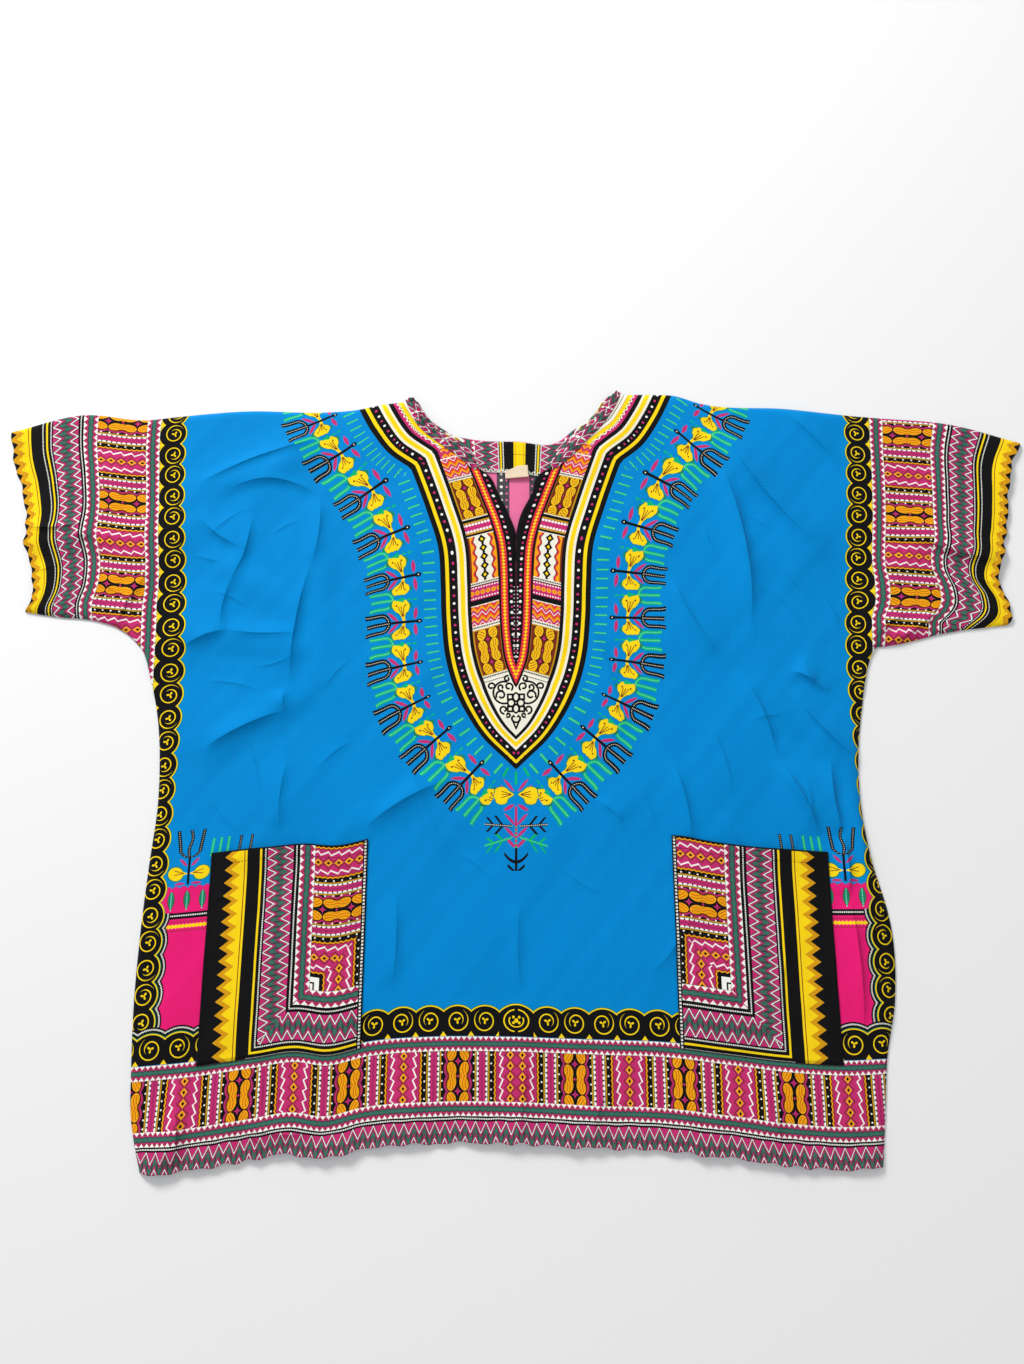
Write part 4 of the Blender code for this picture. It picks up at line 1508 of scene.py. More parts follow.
@dataclass(frozen=True)
class Borders:
    """Where the printed borders lie, and the materials that hold them."""

    side_tooth: Tooth = Tooth(width=16.0, period=7.5)
    cuff_tooth: Tooth = Tooth(width=17.5, period=7.5)
    hem_tooth: Tooth = Tooth(width=13.5, period=5.5)
    side_frieze: Frieze = Frieze(width=59.5, half=48.5)
    hem_frieze: Frieze = Frieze(width=45.0)
    side_scroll: Scroll = Scroll(pitch=25.0, middle=17.0, top=31.0, sagitta=5.8)
    hem_scroll: Scroll = Scroll(pitch=27.8, middle=14.5, top=28.6, sagitta=5.0)
    butterfly_left: float = 776.0
    butterfly_right: float = 761.0
    middle_half: float = 58.0
    wide_cell: float = 34.9
    swirl_out: float = 393.0
    swirl_up: float = 95.5
    swirl_start: float = -3.0

    def coordinates(self, sk: Sketch) -> tuple[Term, Term]:
        """Distance out and height up in millimetres."""
        across, up = sk.millimetres(PRINT_MAP)
        return abs(across), up

    def sleeve(self, name: str, ground: Colour) -> Sketch:
        """Draw the sleeve's borders."""
        sk = Sketch(name, ground)
        across, up = sk.millimetres(PRINT_MAP)
        out = abs(across)
        self.side_tooth.draw(sk, out - self.swirl_out, up)
        inside = out.within(409.0, 468.5)
        lowered = (across > 0.0) * (self.butterfly_left - self.butterfly_right)
        away = (up - self.butterfly_left + lowered).mirror(self.side_frieze.half)
        chain = self.side_frieze.half - away
        self.side_frieze.draw(sk, inside, away, out - 438.75, chain)
        self.cuff_tooth.draw(sk, out - 468.5, up)
        DottedLine(486.0, 492.0).draw(sk, out, up)
        Zigzag(492.0, 522.0).draw(sk, out, up)
        CuffBand(522.0, 569.0).draw(sk, out, up)
        return sk

    def side(self, name: str, ground: Colour) -> Sketch:
        """Draw the sides above the corners."""
        sk = Sketch(name, ground)
        out, up = self.coordinates(sk)
        self.side_scroll.draw(sk, self.swirl_out - out, up - self.swirl_start)
        return sk

    def scroll(self, name: str, ground: Colour) -> Sketch:
        """Draw the spirals above the hem's border, with a wider one in the middle."""
        sk = Sketch(name, ground)
        out, up = self.coordinates(sk)
        self.hem_scroll.draw(sk, up - self.swirl_up, out - self.wide_cell / 2.0)
        middle = (out < self.wide_cell / 2.0) & (up > self.swirl_up)
        lift = up - self.swirl_up - self.hem_scroll.middle
        reach = sk.distance(out * 0.86, lift * 1.05)
        sk.lay(ground, middle)
        arch = sk.distance(out, lift + 9.6) - 25.0
        sk.lay(DYES.green, middle & (arch < 0.8))
        sk.lay(DYES.yellow, middle & (arch < 0.0))
        sk.lay(DYES.black, middle & (arch < -1.15))
        sk.lay(DYES.yellow, middle & (abs(reach - 10.6) < 0.6) & (out > 1.8))
        sk.lay(DYES.yellow, middle & (abs(reach - 6.2) < 0.55) & (lift < 3.0))
        sk.lay(DYES.yellow, middle & (sk.distance(out, lift) < 2.0))
        sk.lay(DYES.yellow, middle & (sk.distance(out - 2.9, abs(lift - 0.6) - 2.6) < 1.3))
        return sk

    def hem(self, name: str, ground: Colour) -> Sketch:
        """Draw the hem's border."""
        sk = Sketch(name, ground)
        out, up = self.coordinates(sk)
        Zigzag(0.0, 24.4, period=10.0, swing=10.0).draw(sk, 19.0 - up, out)
        DottedLine(19.0, 23.5).draw(sk, up, out)
        self.hem_tooth.draw(sk, up - 23.2, out)
        self.hem_tooth.draw(sk, up - 81.7, out)
        inside = up.within(36.5, 81.7)
        beyond = out > self.middle_half
        step = abs(out - self.middle_half)
        away = step.mirror(self.hem_frieze.half) * beyond + step * (1.0 - beyond)
        single = self.hem_frieze.half - away
        chain = single * beyond + abs(out - 6.0) * (1.0 - beyond)
        self.hem_frieze.draw(sk, inside, away, up - 59.0, chain)
        return sk


BORDERS = Borders()


@dataclass(frozen=True)
class FlowerRing:
    """The ring round the neck's design: dashes, flowers on stems, and forks by turns."""

    half: float = 23.0
    first: float = 60.0
    line: float = 40.0
    # the dashes: how far the fan round the point reaches, and where their wide spacing ends
    fan: float = 29.7
    wide_to: float = 150.0
    wide_pitch: float = 14.8
    side_pitch: float = 10.4
    # the bottom group's leaves: height, slope, distance out
    leaves: Table = (
        (340.0, 1.1, 7.5), (317.0, -0.5, 7.5), (305.0, 1.0, 6.5), (292.0, 0.9, 6.5), (281.0, 0.9, 5.5),
    )

    def draw(self, sk: Sketch) -> None:
        """Draw the ring and its bottom group."""
        near, depth = sk.millimetres(NECK_MAP)
        self.dashes(sk, near, depth)
        along, away = sk.millimetres(RING_MAP)
        away = away + self.line
        turn = along - self.first
        side = turn.mirror(self.half)
        ring = along > 26.0
        signed = (turn + self.half).repeat(2.0 * self.half) - self.half
        self.fork(sk, ring, self.half - side, away, DYES.bright_green, 53.0, 8.0)
        self.flowers(sk, ring, signed, away)
        self.fork(sk, ring, side, away, DYES.black, 57.0, 8.6)
        self.sprigs(sk, ring, self.half - side, away)
        self.bottom_group(sk)
        sk.lay(DYES.black, depth < 0.0)

    def dashes(self, sk: Sketch, turn: Term, away: Term) -> None:
        """Draw the fan of green dashes next to the design."""
        mitre = abs(turn - NECK.corner_along * MM_PER_METRE) > away * 0.33
        lower = (turn + self.fan).least(self.wide_to) * (1.0 / self.wide_pitch)
        count = lower + (turn + self.fan - self.wide_to).most(0.0) * (1.0 / self.side_pitch) + 0.5
        beat = abs(count.repeat(1.0) - 0.5)
        stroke = away.within(5.7, 19.0) & (beat < 0.115) & (turn > 1.5) & mitre
        sk.lay(DYES.bright_green, stroke)
        sk.lay(DYES.mint, stroke & (beat < 0.04) & (away.repeat(1.9) < 1.2))
        out, up = BORDERS.coordinates(sk)
        slant = abs(out - 8.2 - (358.5 - up) * 0.59) * 0.86
        sk.lay(DYES.bright_green, (slant < 1.4) & up.within(349.0, 358.5))
        sk.lay(DYES.bright_green, (out < 1.4) & up.within(340.5, 354.0))

    def flowers(self, sk: Sketch, ring: Term, signed: Term, away: Term) -> None:
        """Draw a stem with a large and a small trumpet flower and four leaves."""
        side = abs(signed)
        small = (signed < 0.0) * 0.36 + 1.0
        q = side * small * 0.90
        sway = (away - 40.0) * 0.90 - q * 0.24
        mouth = (abs(sway) * 0.95).sine() * 0.8
        bell = sk.distance((q - 15.4) * (1.0 / 6.6), sway * (1.0 / 9.6)) * 9.0 + mouth
        throat = abs(sway) - (q - 4.5) * 0.62 - 1.1
        neck = (abs(sway) < q * 0.10 + 1.2) & q.within(0.5, 9.0)
        funnel = (throat < 0.0) & q.within(4.5, 13.5)
        rim = (throat < 1.0) & q.within(3.0, 13.5)
        sk.lay(DYES.green, ring & ((bell < 9.9) | rim))
        sk.lay(DYES.yellow, ring & ((bell < 8.9) | funnel | neck))
        fan = q - 3.5
        vein = abs(abs(sway) - fan * 0.26)
        stamens = q.within(5.0, 15.0) & ((vein < 0.42) | (abs(sway) < 0.42))
        curl = sk.distance(q - 15.6, abs(sway) - 4.4) < 0.9
        sk.lay(DYES.brown, ring & (stamens | curl))
        near = self.leaf(side - 8.6, away - 28.6 + side * 0.10, 0.0, 0.052)
        far = self.leaf(away - 52.5, side - 5.8, 0.80, 0.055)
        sk.lay(DYES.magenta, ring & (near | far))
        stem = (side < 1.3) & away.within(23.0, 60.0)
        knob = sk.distance(side, (away - 23.8) * 0.6) < 2.2
        sk.lay(DYES.black, ring & (stem | knob))
        sk.lay(DYES.cream, ring & (sk.distance(side, away - 23.4) < 0.7))

    def leaf(self, x: Term, y: Term, slope: float, taper: float) -> Term:
        """Mask of one pointed leaf, leaning by a slope and drawn in by a taper."""
        lean = y - x * slope
        return abs(lean) + x * x * taper < 2.2

    def fork(
        self, sk: Sketch, ring: Term, side: Term, away: Term, dye: Colour, start: float, radius: float
    ) -> None:
        """Draw a three-tined fork on a round base, with pale dots along its tines.

        Args:
            sk: The material.
            ring: Mask of the ring.
            side: Distance along the ring from the fork's middle.
            away: Distance out from the design.
            dye: The fork's colour.
            start: Distance out at which its base begins.
            radius: Radius of the base.
        """
        dark = dye == DYES.black
        half = 2.2 if dark else 1.8
        at = away - start - radius
        low = at.least(0.0)
        flare = (at - 9.0).most(0.0)
        tine = abs(sk.distance(side, low) - radius - flare * flare * 0.014)
        middle = (side < half) & at.within(-radius, 15.5)
        inside = ring & (at < 18.0 - radius * 0.1)
        sk.lay(dye, inside & ((tine < half) | middle))
        dots = (at + side * 0.4).repeat(1.9) < 1.1
        pale = DYES.cream if dark else DYES.mint
        fine = 0.26 if dark else 0.50
        sk.lay(pale, inside & dots & ((tine < fine) | (middle & (side < fine))) & (at > -radius - 0.5))

    def sprigs(self, sk: Sketch, ring: Term, side: Term, away: Term) -> None:
        """Draw the small green strokes below a green fork."""
        stroke = away.within(25.0, 50.0) & (abs(side) < 0.85) & (away.repeat(6.6) < 4.6)
        wedge = (side < (50.0 - away) * 0.32) & away.within(41.0, 50.0)
        sk.lay(DYES.bright_green, ring & (stroke | wedge))

    def bottom_group(self, sk: Sketch) -> None:
        """Draw the group below the design's point: two flowers, leaves and coral twigs."""
        out, up = BORDERS.coordinates(sk)
        near = out < 42.0
        dy = up - 330.5
        spread_out = (out - 3.5) * 0.62 + 1.1
        bell = sk.distance((out - 15.5) * 1.15, dy + 1.0) + (dy * 0.9).sine() * 0.5
        funnel = (abs(dy) < spread_out) & out.within(2.5, 14.0)
        rim = (abs(dy) < spread_out + 1.0) & out.within(2.0, 14.0)
        sk.lay(DYES.green, near & ((bell < 10.1) | rim))
        sk.lay(DYES.yellow, near & ((bell < 9.1) | funnel))
        vein = abs(abs(dy) - (out - 4.0) * 0.28)
        sk.lay(DYES.brown, near & out.within(5.0, 15.5) & ((vein < 0.45) | (abs(dy) < 0.4)))
        for height, slope, reach in self.leaves:
            leaf = self.leaf(out - reach, up - height, slope, 0.06)
            sk.lay(DYES.magenta, leaf & (out > 0.8))
        for height, dye, tilt in ((287.0, DYES.bright_green, -0.30), (298.0, DYES.black, 0.06)):
            self.twig(sk, out, up - height, dye, tilt)
        trunk = (out < 1.3) & up.within(246.0, 318.0)
        sk.lay(DYES.magenta, trunk & (up > 276.0))
        sk.lay(DYES.black, trunk & (up < 276.0))
        sk.lay(DYES.bright_green, trunk & up.within(276.0, 300.0) & (up.repeat(4.0) < 1.6))
        curl = abs(up - 262.0 - out * out * 0.055)
        sk.lay(DYES.black, (out < 12.5) & (curl < 1.7))
        low = abs(up - 251.0 - out * 0.85)
        sk.lay(DYES.black, (out < 9.0) & (low < 1.6))

    def twig(self, sk: Sketch, out: Term, lift: Term, dye: Colour, tilt: float) -> None:
        """Draw a branching twig that leans out from the middle line."""
        rise = lift - (out - 3.0) * tilt
        stem = (abs(rise) < 1.3) & out.within(3.5, 33.0)
        arm = abs(out - 14.0 - abs(rise) * 0.85)
        arms = (arm < 1.5) & (abs(rise) < 9.5)
        tip = (abs(out - 24.0 - abs(rise) * 0.9) < 1.4) & (abs(rise) < 7.5)
        sk.lay(dye, (stem & (out > 4.0)) | arms | tip)
        pale = DYES.cream if dye == DYES.black else DYES.mint
        sk.lay(pale, stem & (abs(rise) < 0.45) & (out.repeat(2.0) < 1.0))


@dataclass(frozen=True)
class Curl:
    """One curl of a scroll: a turn that closes in on its own end."""

    x: float
    y: float
    size: float
    start: float
    twist: float
    stroke: float = 1.05

    def draw(self, sk: Sketch, out: Term, up: Term) -> None:
        """Draw the curl as a black stroke."""
        dx, dy = out - self.x, (up - self.y) * self.twist
        cos, sin = math.cos(self.start), math.sin(self.start)
        turn = (dy * cos - dx * sin).math("ARCTAN2", dx * cos + dy * sin) * (0.5 / math.pi) + 0.5
        line = abs(sk.distance(dx, dy) - (turn * -0.62 + 1.0) * self.size)
        sk.lay(DYES.black, line < self.stroke)


@dataclass(frozen=True)
class NeckDesign:
    """The figured design round the neck slit, from its black edge inwards."""

    band: float = 33.2
    # how much narrower the bands run at the point than at the sides
    pinch: float = 0.32
    stroke: float = 1.05
    curls: tuple[Curl, ...] = (
        Curl(16.2, 8.3, 5.6, 2.6, 1.0),
        Curl(16.4, 16.8, 3.9, 0.9, 1.0),
        Curl(27.0, 17.8, 4.2, -0.4, -1.0),
        Curl(7.9, 17.6, 4.8, -1.0, -1.0),
        Curl(9.6, 26.2, 3.4, 1.2, -1.0),
        Curl(13.2, -7.2, 4.6, 1.4, 1.0),
        Curl(8.6, -13.0, 2.6, -2.4, -1.0),
    )

    def draw(self, sk: Sketch) -> None:
        """Draw the design."""
        along, away = sk.millimetres(NECK_MAP)
        _, slit = sk.millimetres(SLIT_MAP)
        out, up = BORDERS.coordinates(sk)
        depth = away * ((along * (1.0 / 120.0)).most(0.0).least(1.0) * self.pinch - 1.0 - self.pinch)
        self.panels(sk, along, out, up, depth - self.band, slit)
        self.point(sk, out, up)
        self.edge(sk, along, depth)
        self.slit_strip(sk, up, slit, out)

    def edge(self, sk: Sketch, along: Term, depth: Term) -> None:
        """Draw the bands that follow the outline."""
        sk.lay(DYES.black, depth < self.band)
        sk.lay(DYES.cream, depth.within(19.0, 29.2))
        wave = (along * (math.pi / 1.7)).sine() * 0.35
        sk.lay(DYES.yellow, abs(depth + wave - 24.3) < 2.5)
        sk.lay(DYES.yellow, depth.within(5.7, 9.6))
        bead = sk.distance(along.repeat(9.0) - 4.5, depth - 14.4)
        odd = (along * (1.0 / 18.0)).repeat(1.0) < 0.5
        sk.lay(DYES.white, (bead < 1.5) & odd)
        sk.lay(DYES.magenta, (bead < 1.5) & odd.flip())

    def slit_strip(self, sk: Sketch, up: Term, slit: Term, out: Term) -> None:
        """Draw the red strip with its chain of yellow crosses, and the dotted black slit."""
        inner = slit * -1.0
        sk.lay(DYES.black, inner > -1.3)
        sk.lay(DYES.red, inner.within(1.1, 8.6))
        across = abs(inner - 4.8)
        step = abs(up.repeat(3.9) - 1.95)
        chain = (across < 2.0) & ((step < 0.75) | (across < 0.75))
        sk.lay(DYES.gold, chain)
        sk.lay(DYES.yellow, chain & (across < 1.4) & (step < 1.3))
        dot = sk.distance(up.repeat(12.4) - 6.2, inner - 12.4)
        sk.lay(DYES.white, (dot < 1.6) & (inner > 9.0))
        wide = sk.distance((up + 6.2).repeat(12.4) - 6.2, inner - 12.6)
        sk.lay(DYES.magenta, (wide < 1.2) & (inner > 9.0))
        small = sk.distance(up.repeat(4.4) - 2.2, out - 1.9)
        sk.lay(DYES.white, (small < 0.65) & (inner > 9.0) & (up < 560.0))

    def panels(self, sk: Sketch, along: Term, out: Term, up: Term, outer: Term, slit: Term) -> None:
        """Draw the stack of panels between the edge and the slit."""
        x = (slit - outer) * 0.5
        room = (slit + outer) * 0.5
        q = up + (out - 45.0) * 0.30
        sk.lay(DYES.cream, q > 0.0)
        for low, high in ((690.0, 716.0), (511.0, 533.0)):
            self.zigzag(sk, q, x, low, high)
        for low, high in ((637.5, 687.0), (452.5, 506.0)):
            self.lobes(sk, q, x, room, low, high)
        self.chain_panel(sk, q, x, room)
        self.strips(sk, q, x)
        self.shoulder(sk, q, outer, along)
        for height in (688.6, 558.5, 508.6, 450.6):
            line = abs(q - height)
            sk.lay(DYES.cream, line < 2.0)
            sk.lay(DYES.black, (line < 0.9) & (x.repeat(1.9) < 1.35))

    def zigzag(self, sk: Sketch, q: Term, x: Term, low: float, high: float) -> None:
        """Draw a panel of orange, yellow, red and white zigzags."""
        inside = q.within(low, high)
        level = (q - low - x.mirror(4.6) * 1.15).repeat(11.5)
        sk.lay(DYES.magenta, inside)
        sk.lay(DYES.gold, inside & level.within(2.0, 4.6))
        sk.lay(DYES.orange, inside & level.within(4.6, 6.6))
        sk.lay(DYES.red, inside & level.within(6.6, 8.2))
        sk.lay(DYES.cream, inside & level.within(9.2, 10.4))

    def lobes(self, sk: Sketch, q: Term, x: Term, room: Term, low: float, high: float) -> None:
        """Draw a panel of golden lobes and stars on brown."""
        middle = (low + high) / 2.0
        inside = q.within(low, high)
        side = abs(x)
        rise = abs(q - middle)
        sk.lay(DYES.ochre, inside)
        sk.lay(DYES.brown, inside & (side < room - 1.6) & (rise < (high - low) / 2.0 - 1.4))
        pair = abs(rise - 6.4).least(abs(rise - 20.0))
        centre = rise.least(abs(rise - 26.0)).least(11.0) * 0.12 + 5.6
        inner = abs(side - centre)
        body = sk.distance(pair * (1.0 / 7.0), inner * (1.0 / 5.0))
        waist = (rise < 6.0) & (inner < 3.6)
        tall = rise < (high - low) / 2.0 - 1.4
        sk.lay(DYES.black, inside & (body < 1.12) & tall)
        sk.lay(DYES.amber, inside & ((body < 0.96) | waist) & tall)
        arc = sk.distance((rise - 6.4) * 0.8, side - 12.6).repeat(2.4)
        sk.lay(DYES.brown, inside & ((body < 0.74) | (waist & (inner < 2.2))) & (arc < 0.62) & tall)
        star = side.math("SQRT") + abs(rise - 13.2).math("SQRT")
        small = side.math("SQRT") + rise.math("SQRT")
        sk.lay(DYES.black, inside & (star < 2.45))
        sk.lay(DYES.magenta, inside & ((star < 2.0) | (small < 1.5)))

    def chain_panel(self, sk: Sketch, q: Term, x: Term, room: Term) -> None:
        """Draw the white panel with a chain of black diamonds and scalloped sides."""
        inside = q.within(560.5, 614.5)
        side = abs(x)
        sway = (q * (math.pi / 6.3)).sine() * 1.5
        edge = room - side
        sk.lay(DYES.cream, inside)
        sk.lay(DYES.brown, inside & (edge + sway * 0.8 < 7.6))
        sk.lay(DYES.red, inside & (edge + sway < 6.4))
        sk.lay(DYES.gold, inside & (edge + sway < 4.8))
        sk.lay(DYES.brown, inside & (edge < 2.0))
        link = q.repeat(10.6) - 5.3
        cell = side + abs(link) * 0.85
        sk.lay(DYES.black, inside & (cell < 4.7))
        sk.lay(DYES.yellow, inside & (cell < 1.9))
        knot = side * 1.2 + abs((q + 5.3).repeat(10.6) - 5.3)
        sk.lay(DYES.black, inside & (knot < 2.2))

    def strips(self, sk: Sketch, q: Term, x: Term) -> None:
        """Draw the narrow strips between the panels."""
        upper = q.within(615.5, 636.5)
        sk.lay(DYES.black, upper)
        sk.lay(DYES.ochre, upper & ((abs(q - 632.0) < 1.0) | (abs(q - 619.0) < 1.0)))
        sk.lay(DYES.magenta, upper & q.within(620.0, 630.8))
        lace = sk.distance(x.repeat(3.6) - 1.8, abs(q - 625.4) - 4.0)
        sk.lay(DYES.white, upper & (lace < 1.5))
        lower = q.within(534.0, 556.5)
        sk.lay(DYES.black, lower)
        sk.lay(DYES.magenta, lower & q.within(540.0, 555.5))
        bloom = sk.distance(x.repeat(6.0) - 3.0, q - 548.0)
        sk.lay(DYES.gold, lower & (bloom < 2.6))
        sk.lay(DYES.orange, lower & (bloom < 1.0))
        dots = sk.distance(x.repeat(3.0) - 1.5, abs(q - 548.0) - 6.0)
        sk.lay(DYES.white, lower & (dots < 0.9))

    def shoulder(self, sk: Sketch, q: Term, outer: Term, along: Term) -> None:
        """Draw the bands over the shoulder, which follow the outline."""
        inside = q > 717.5
        wave = (along * (math.pi / 3.9)).sine() * 1.1
        sk.lay(DYES.black, inside)
        sk.lay(DYES.magenta, inside & outer.within(0.8, 5.2))
        sk.lay(DYES.cream, inside & (outer + wave).within(4.4, 6.2))
        sk.lay(DYES.yellow, inside & (outer > 6.2) & (outer + wave > 5.8) & (outer < 10.6))
        sk.lay(DYES.ochre, inside & (abs(outer - 10.9) < 0.4))
        sk.lay(DYES.cream, inside & outer.within(11.2, 18.6))
        sk.lay(DYES.slate, inside & (abs(outer - 15.0) < 0.45))
        sk.lay(DYES.magenta, inside & (outer > 18.6))
        fleck = sk.distance(along.repeat(6.4) - 3.2, outer.repeat(6.0) - 3.0)
        sk.lay(DYES.gold, inside & (outer > 18.6) & (fleck < 2.0))
        corner = inside & (q < 731.0) & (outer > 4.0)
        zig = (q + outer.mirror(3.4) * 1.1).repeat(8.0)
        sk.lay(DYES.magenta, corner)
        sk.lay(DYES.orange, corner & (zig < 4.6))
        sk.lay(DYES.gold, corner & (zig < 2.4))

    def point(self, sk: Sketch, out: Term, up: Term) -> None:
        """Draw the white point with its black flower, bud and curling scrolls."""
        level = up + (out - 20.0) * 0.30
        inside = level < 455.4
        sk.lay(DYES.cream, inside)
        rim = abs(level - 453.2) < 0.4
        sk.lay(DYES.slate, inside & rim)
        y = up - 427.0
        rise = abs(y)
        side = sk.distance(out - 5.2, y) - 3.8
        tall = sk.distance(out * 1.5, rise - 6.2) - 4.4
        square = abs(out - 6.3).most(abs(rise - 6.5)) - 2.6
        petals = abs(side).least(abs(tall)).least(abs(square) + ((side < 0.0) | (tall < 0.0)) * 9.0)
        sk.lay(DYES.black, petals < self.stroke)
        stem = abs(sk.distance(out - 12.8, y - 11.2) - 11.9)
        sk.lay(DYES.black, (stem < self.stroke) & (out > 9.3))
        for curl in self.curls:
            curl.draw(sk, out, y)
        self.bud(sk, out, y + 19.0)

    def bud(self, sk: Sketch, out: Term, y: Term) -> None:
        """Draw the bud that hangs below the flower."""
        cup = abs(sk.distance(out * 0.9, y - 2.2) - 4.0)
        lip = abs(out - 2.0 - (y - 4.4) * 0.7)
        sk.lay(DYES.black, (cup < self.stroke) & y.within(-3.0, 5.0))
        sk.lay(DYES.black, (lip < self.stroke) & y.within(3.4, 6.4) & (out < 3.4))
        drop = abs(out - (y + 8.5) * 0.42)
        sk.lay(DYES.black, (drop < self.stroke) & y.within(-9.5, -1.0))


@dataclass(frozen=True)
class PinkCorner:
    """The lower corners: a pink panel with leaves and a trident of flowers above it."""

    axis: float = 340.5
    panel_top: float = 258.0
    green_tines: tuple[float, ...] = (318.5, 310.5, 302.5)
    black_tines: tuple[float, ...] = (290.0, 278.5)

    def draw(self, sk: Sketch) -> None:
        """Draw the corner."""
        out, up = BORDERS.coordinates(sk)
        across = out - self.axis
        side = abs(across)
        self.panel(sk, across, up)
        self.flowers(sk, side, up)
        self.trident(sk, across, side, up)
        self.neighbours(sk, out, up)
        below = up < 236.0
        BORDERS.side_scroll.draw(sk, BORDERS.swirl_out - out, up - BORDERS.swirl_start, below)
        along = out - BORDERS.wide_cell / 2.0
        BORDERS.hem_scroll.draw(sk, up - BORDERS.swirl_up, along, out > 300.0)

    def panel(self, sk: Sketch, across: Term, up: Term) -> None:
        """Draw the pink panel, its leaves, dotted band and wavy line."""
        bump = (across.mirror(8.0) * (math.pi / 8.0)).sine() * 2.2
        edge = up - bump - self.panel_top
        sk.lay(DYES.magenta, edge < 1.2)
        sk.lay(DYES.pink, edge < 0.0)
        leaf_x = abs((across + 8.0).repeat(16.0) - 8.0)
        rise = up - 237.5
        width = (rise * (math.pi / 19.0)).sine() * 3.1 + (rise - 9.0) * 0.07
        leaf = rise.within(0.5, 18.5) & (across.within(-24.0, 24.0))
        sk.lay(DYES.brown, leaf & (leaf_x < width + 0.7))
        sk.lay(DYES.green, leaf & (leaf_x < width))
        sk.lay(DYES.mint, leaf & (leaf_x < 0.6) & (up.repeat(2.0) < 1.2))
        sk.lay(DYES.black, up.within(229.5, 235.5))
        sk.lay(DYES.white, (abs(up - 232.7) < 0.7) & (across.repeat(1.8) < 1.1))
        ripple = (across.mirror(3.6) * (math.pi / 3.6)).sine() * 1.3
        sk.lay(DYES.brown, abs(abs(up - 222.5) - ripple - 3.4) < 0.35)
        sk.lay(DYES.yellow, abs(up - 222.5) < ripple * 0.8 + 0.9)

    def flowers(self, sk: Sketch, side: Term, up: Term) -> None:
        """Draw two yellow flowers and the leaves round them."""
        lift = up - 273.0
        bell = sk.distance((side - 13.5) * 0.85, lift - side * 0.10 + 1.0)
        throat = (abs(lift - side * 0.05) < side * 0.30) & side.within(1.5, 9.0)
        sk.lay(DYES.green, (bell < 7.6) & (side > 2.0))
        sk.lay(DYES.yellow, (bell < 6.6) | (throat & (abs(lift) < 4.5)))
        vein = abs(lift - side * 0.10) - (side - 5.0) * 0.22
        sk.lay(DYES.brown, side.within(4.0, 15.0) & (abs(vein) < 0.4) & (abs(lift) < 5.0))
        upper = abs(up - 279.0 - side * 0.85) + (side - 6.0) * (side - 6.0) * 0.10 < 1.9
        lower = abs(up - 263.5) + (side - 8.5) * (side - 8.5) * 0.04 < 1.3
        sk.lay(DYES.magenta, upper | (lower & (side > 2.0)))

    def trident(self, sk: Sketch, across: Term, side: Term, up: Term) -> None:
        """Draw the black trident with its dotted line."""
        rise = up - 288.5
        bow = (rise * 0.16).most(0.0).least(1.0).math("SQRT") * 10.2 + (rise - 8.0).most(0.0) * 0.16
        tine = abs(side - bow)
        wave = abs(across - (rise * 0.24).sine() * 1.4)
        body = rise.within(-0.5, 27.5)
        sk.lay(DYES.black, body & ((tine < 1.9) | ((wave < 1.7) & (rise > 0.0))))
        sk.lay(DYES.grey, body & (up.repeat(2.0) < 1.1) & ((tine < 0.5) | (wave < 0.5)))
        sk.lay(DYES.black, (side < 1.2) & up.within(262.5, 289.0))

    def neighbours(self, sk: Sketch, out: Term, up: Term) -> None:
        """Draw the green and black tines that show above the pocket's top edge."""
        sway = out + (up - 290.0) * 0.12
        for place in self.green_tines + self.black_tines:
            dark = place in self.black_tines
            line = abs(sway - place)
            tall = up.within(288.0, 306.0)
            sk.lay(DYES.black if dark else DYES.bright_green, tall & (line < 1.5))
            sk.lay(DYES.grey if dark else DYES.mint, tall & (line < 0.5) & (up.repeat(2.0) < 1.1))


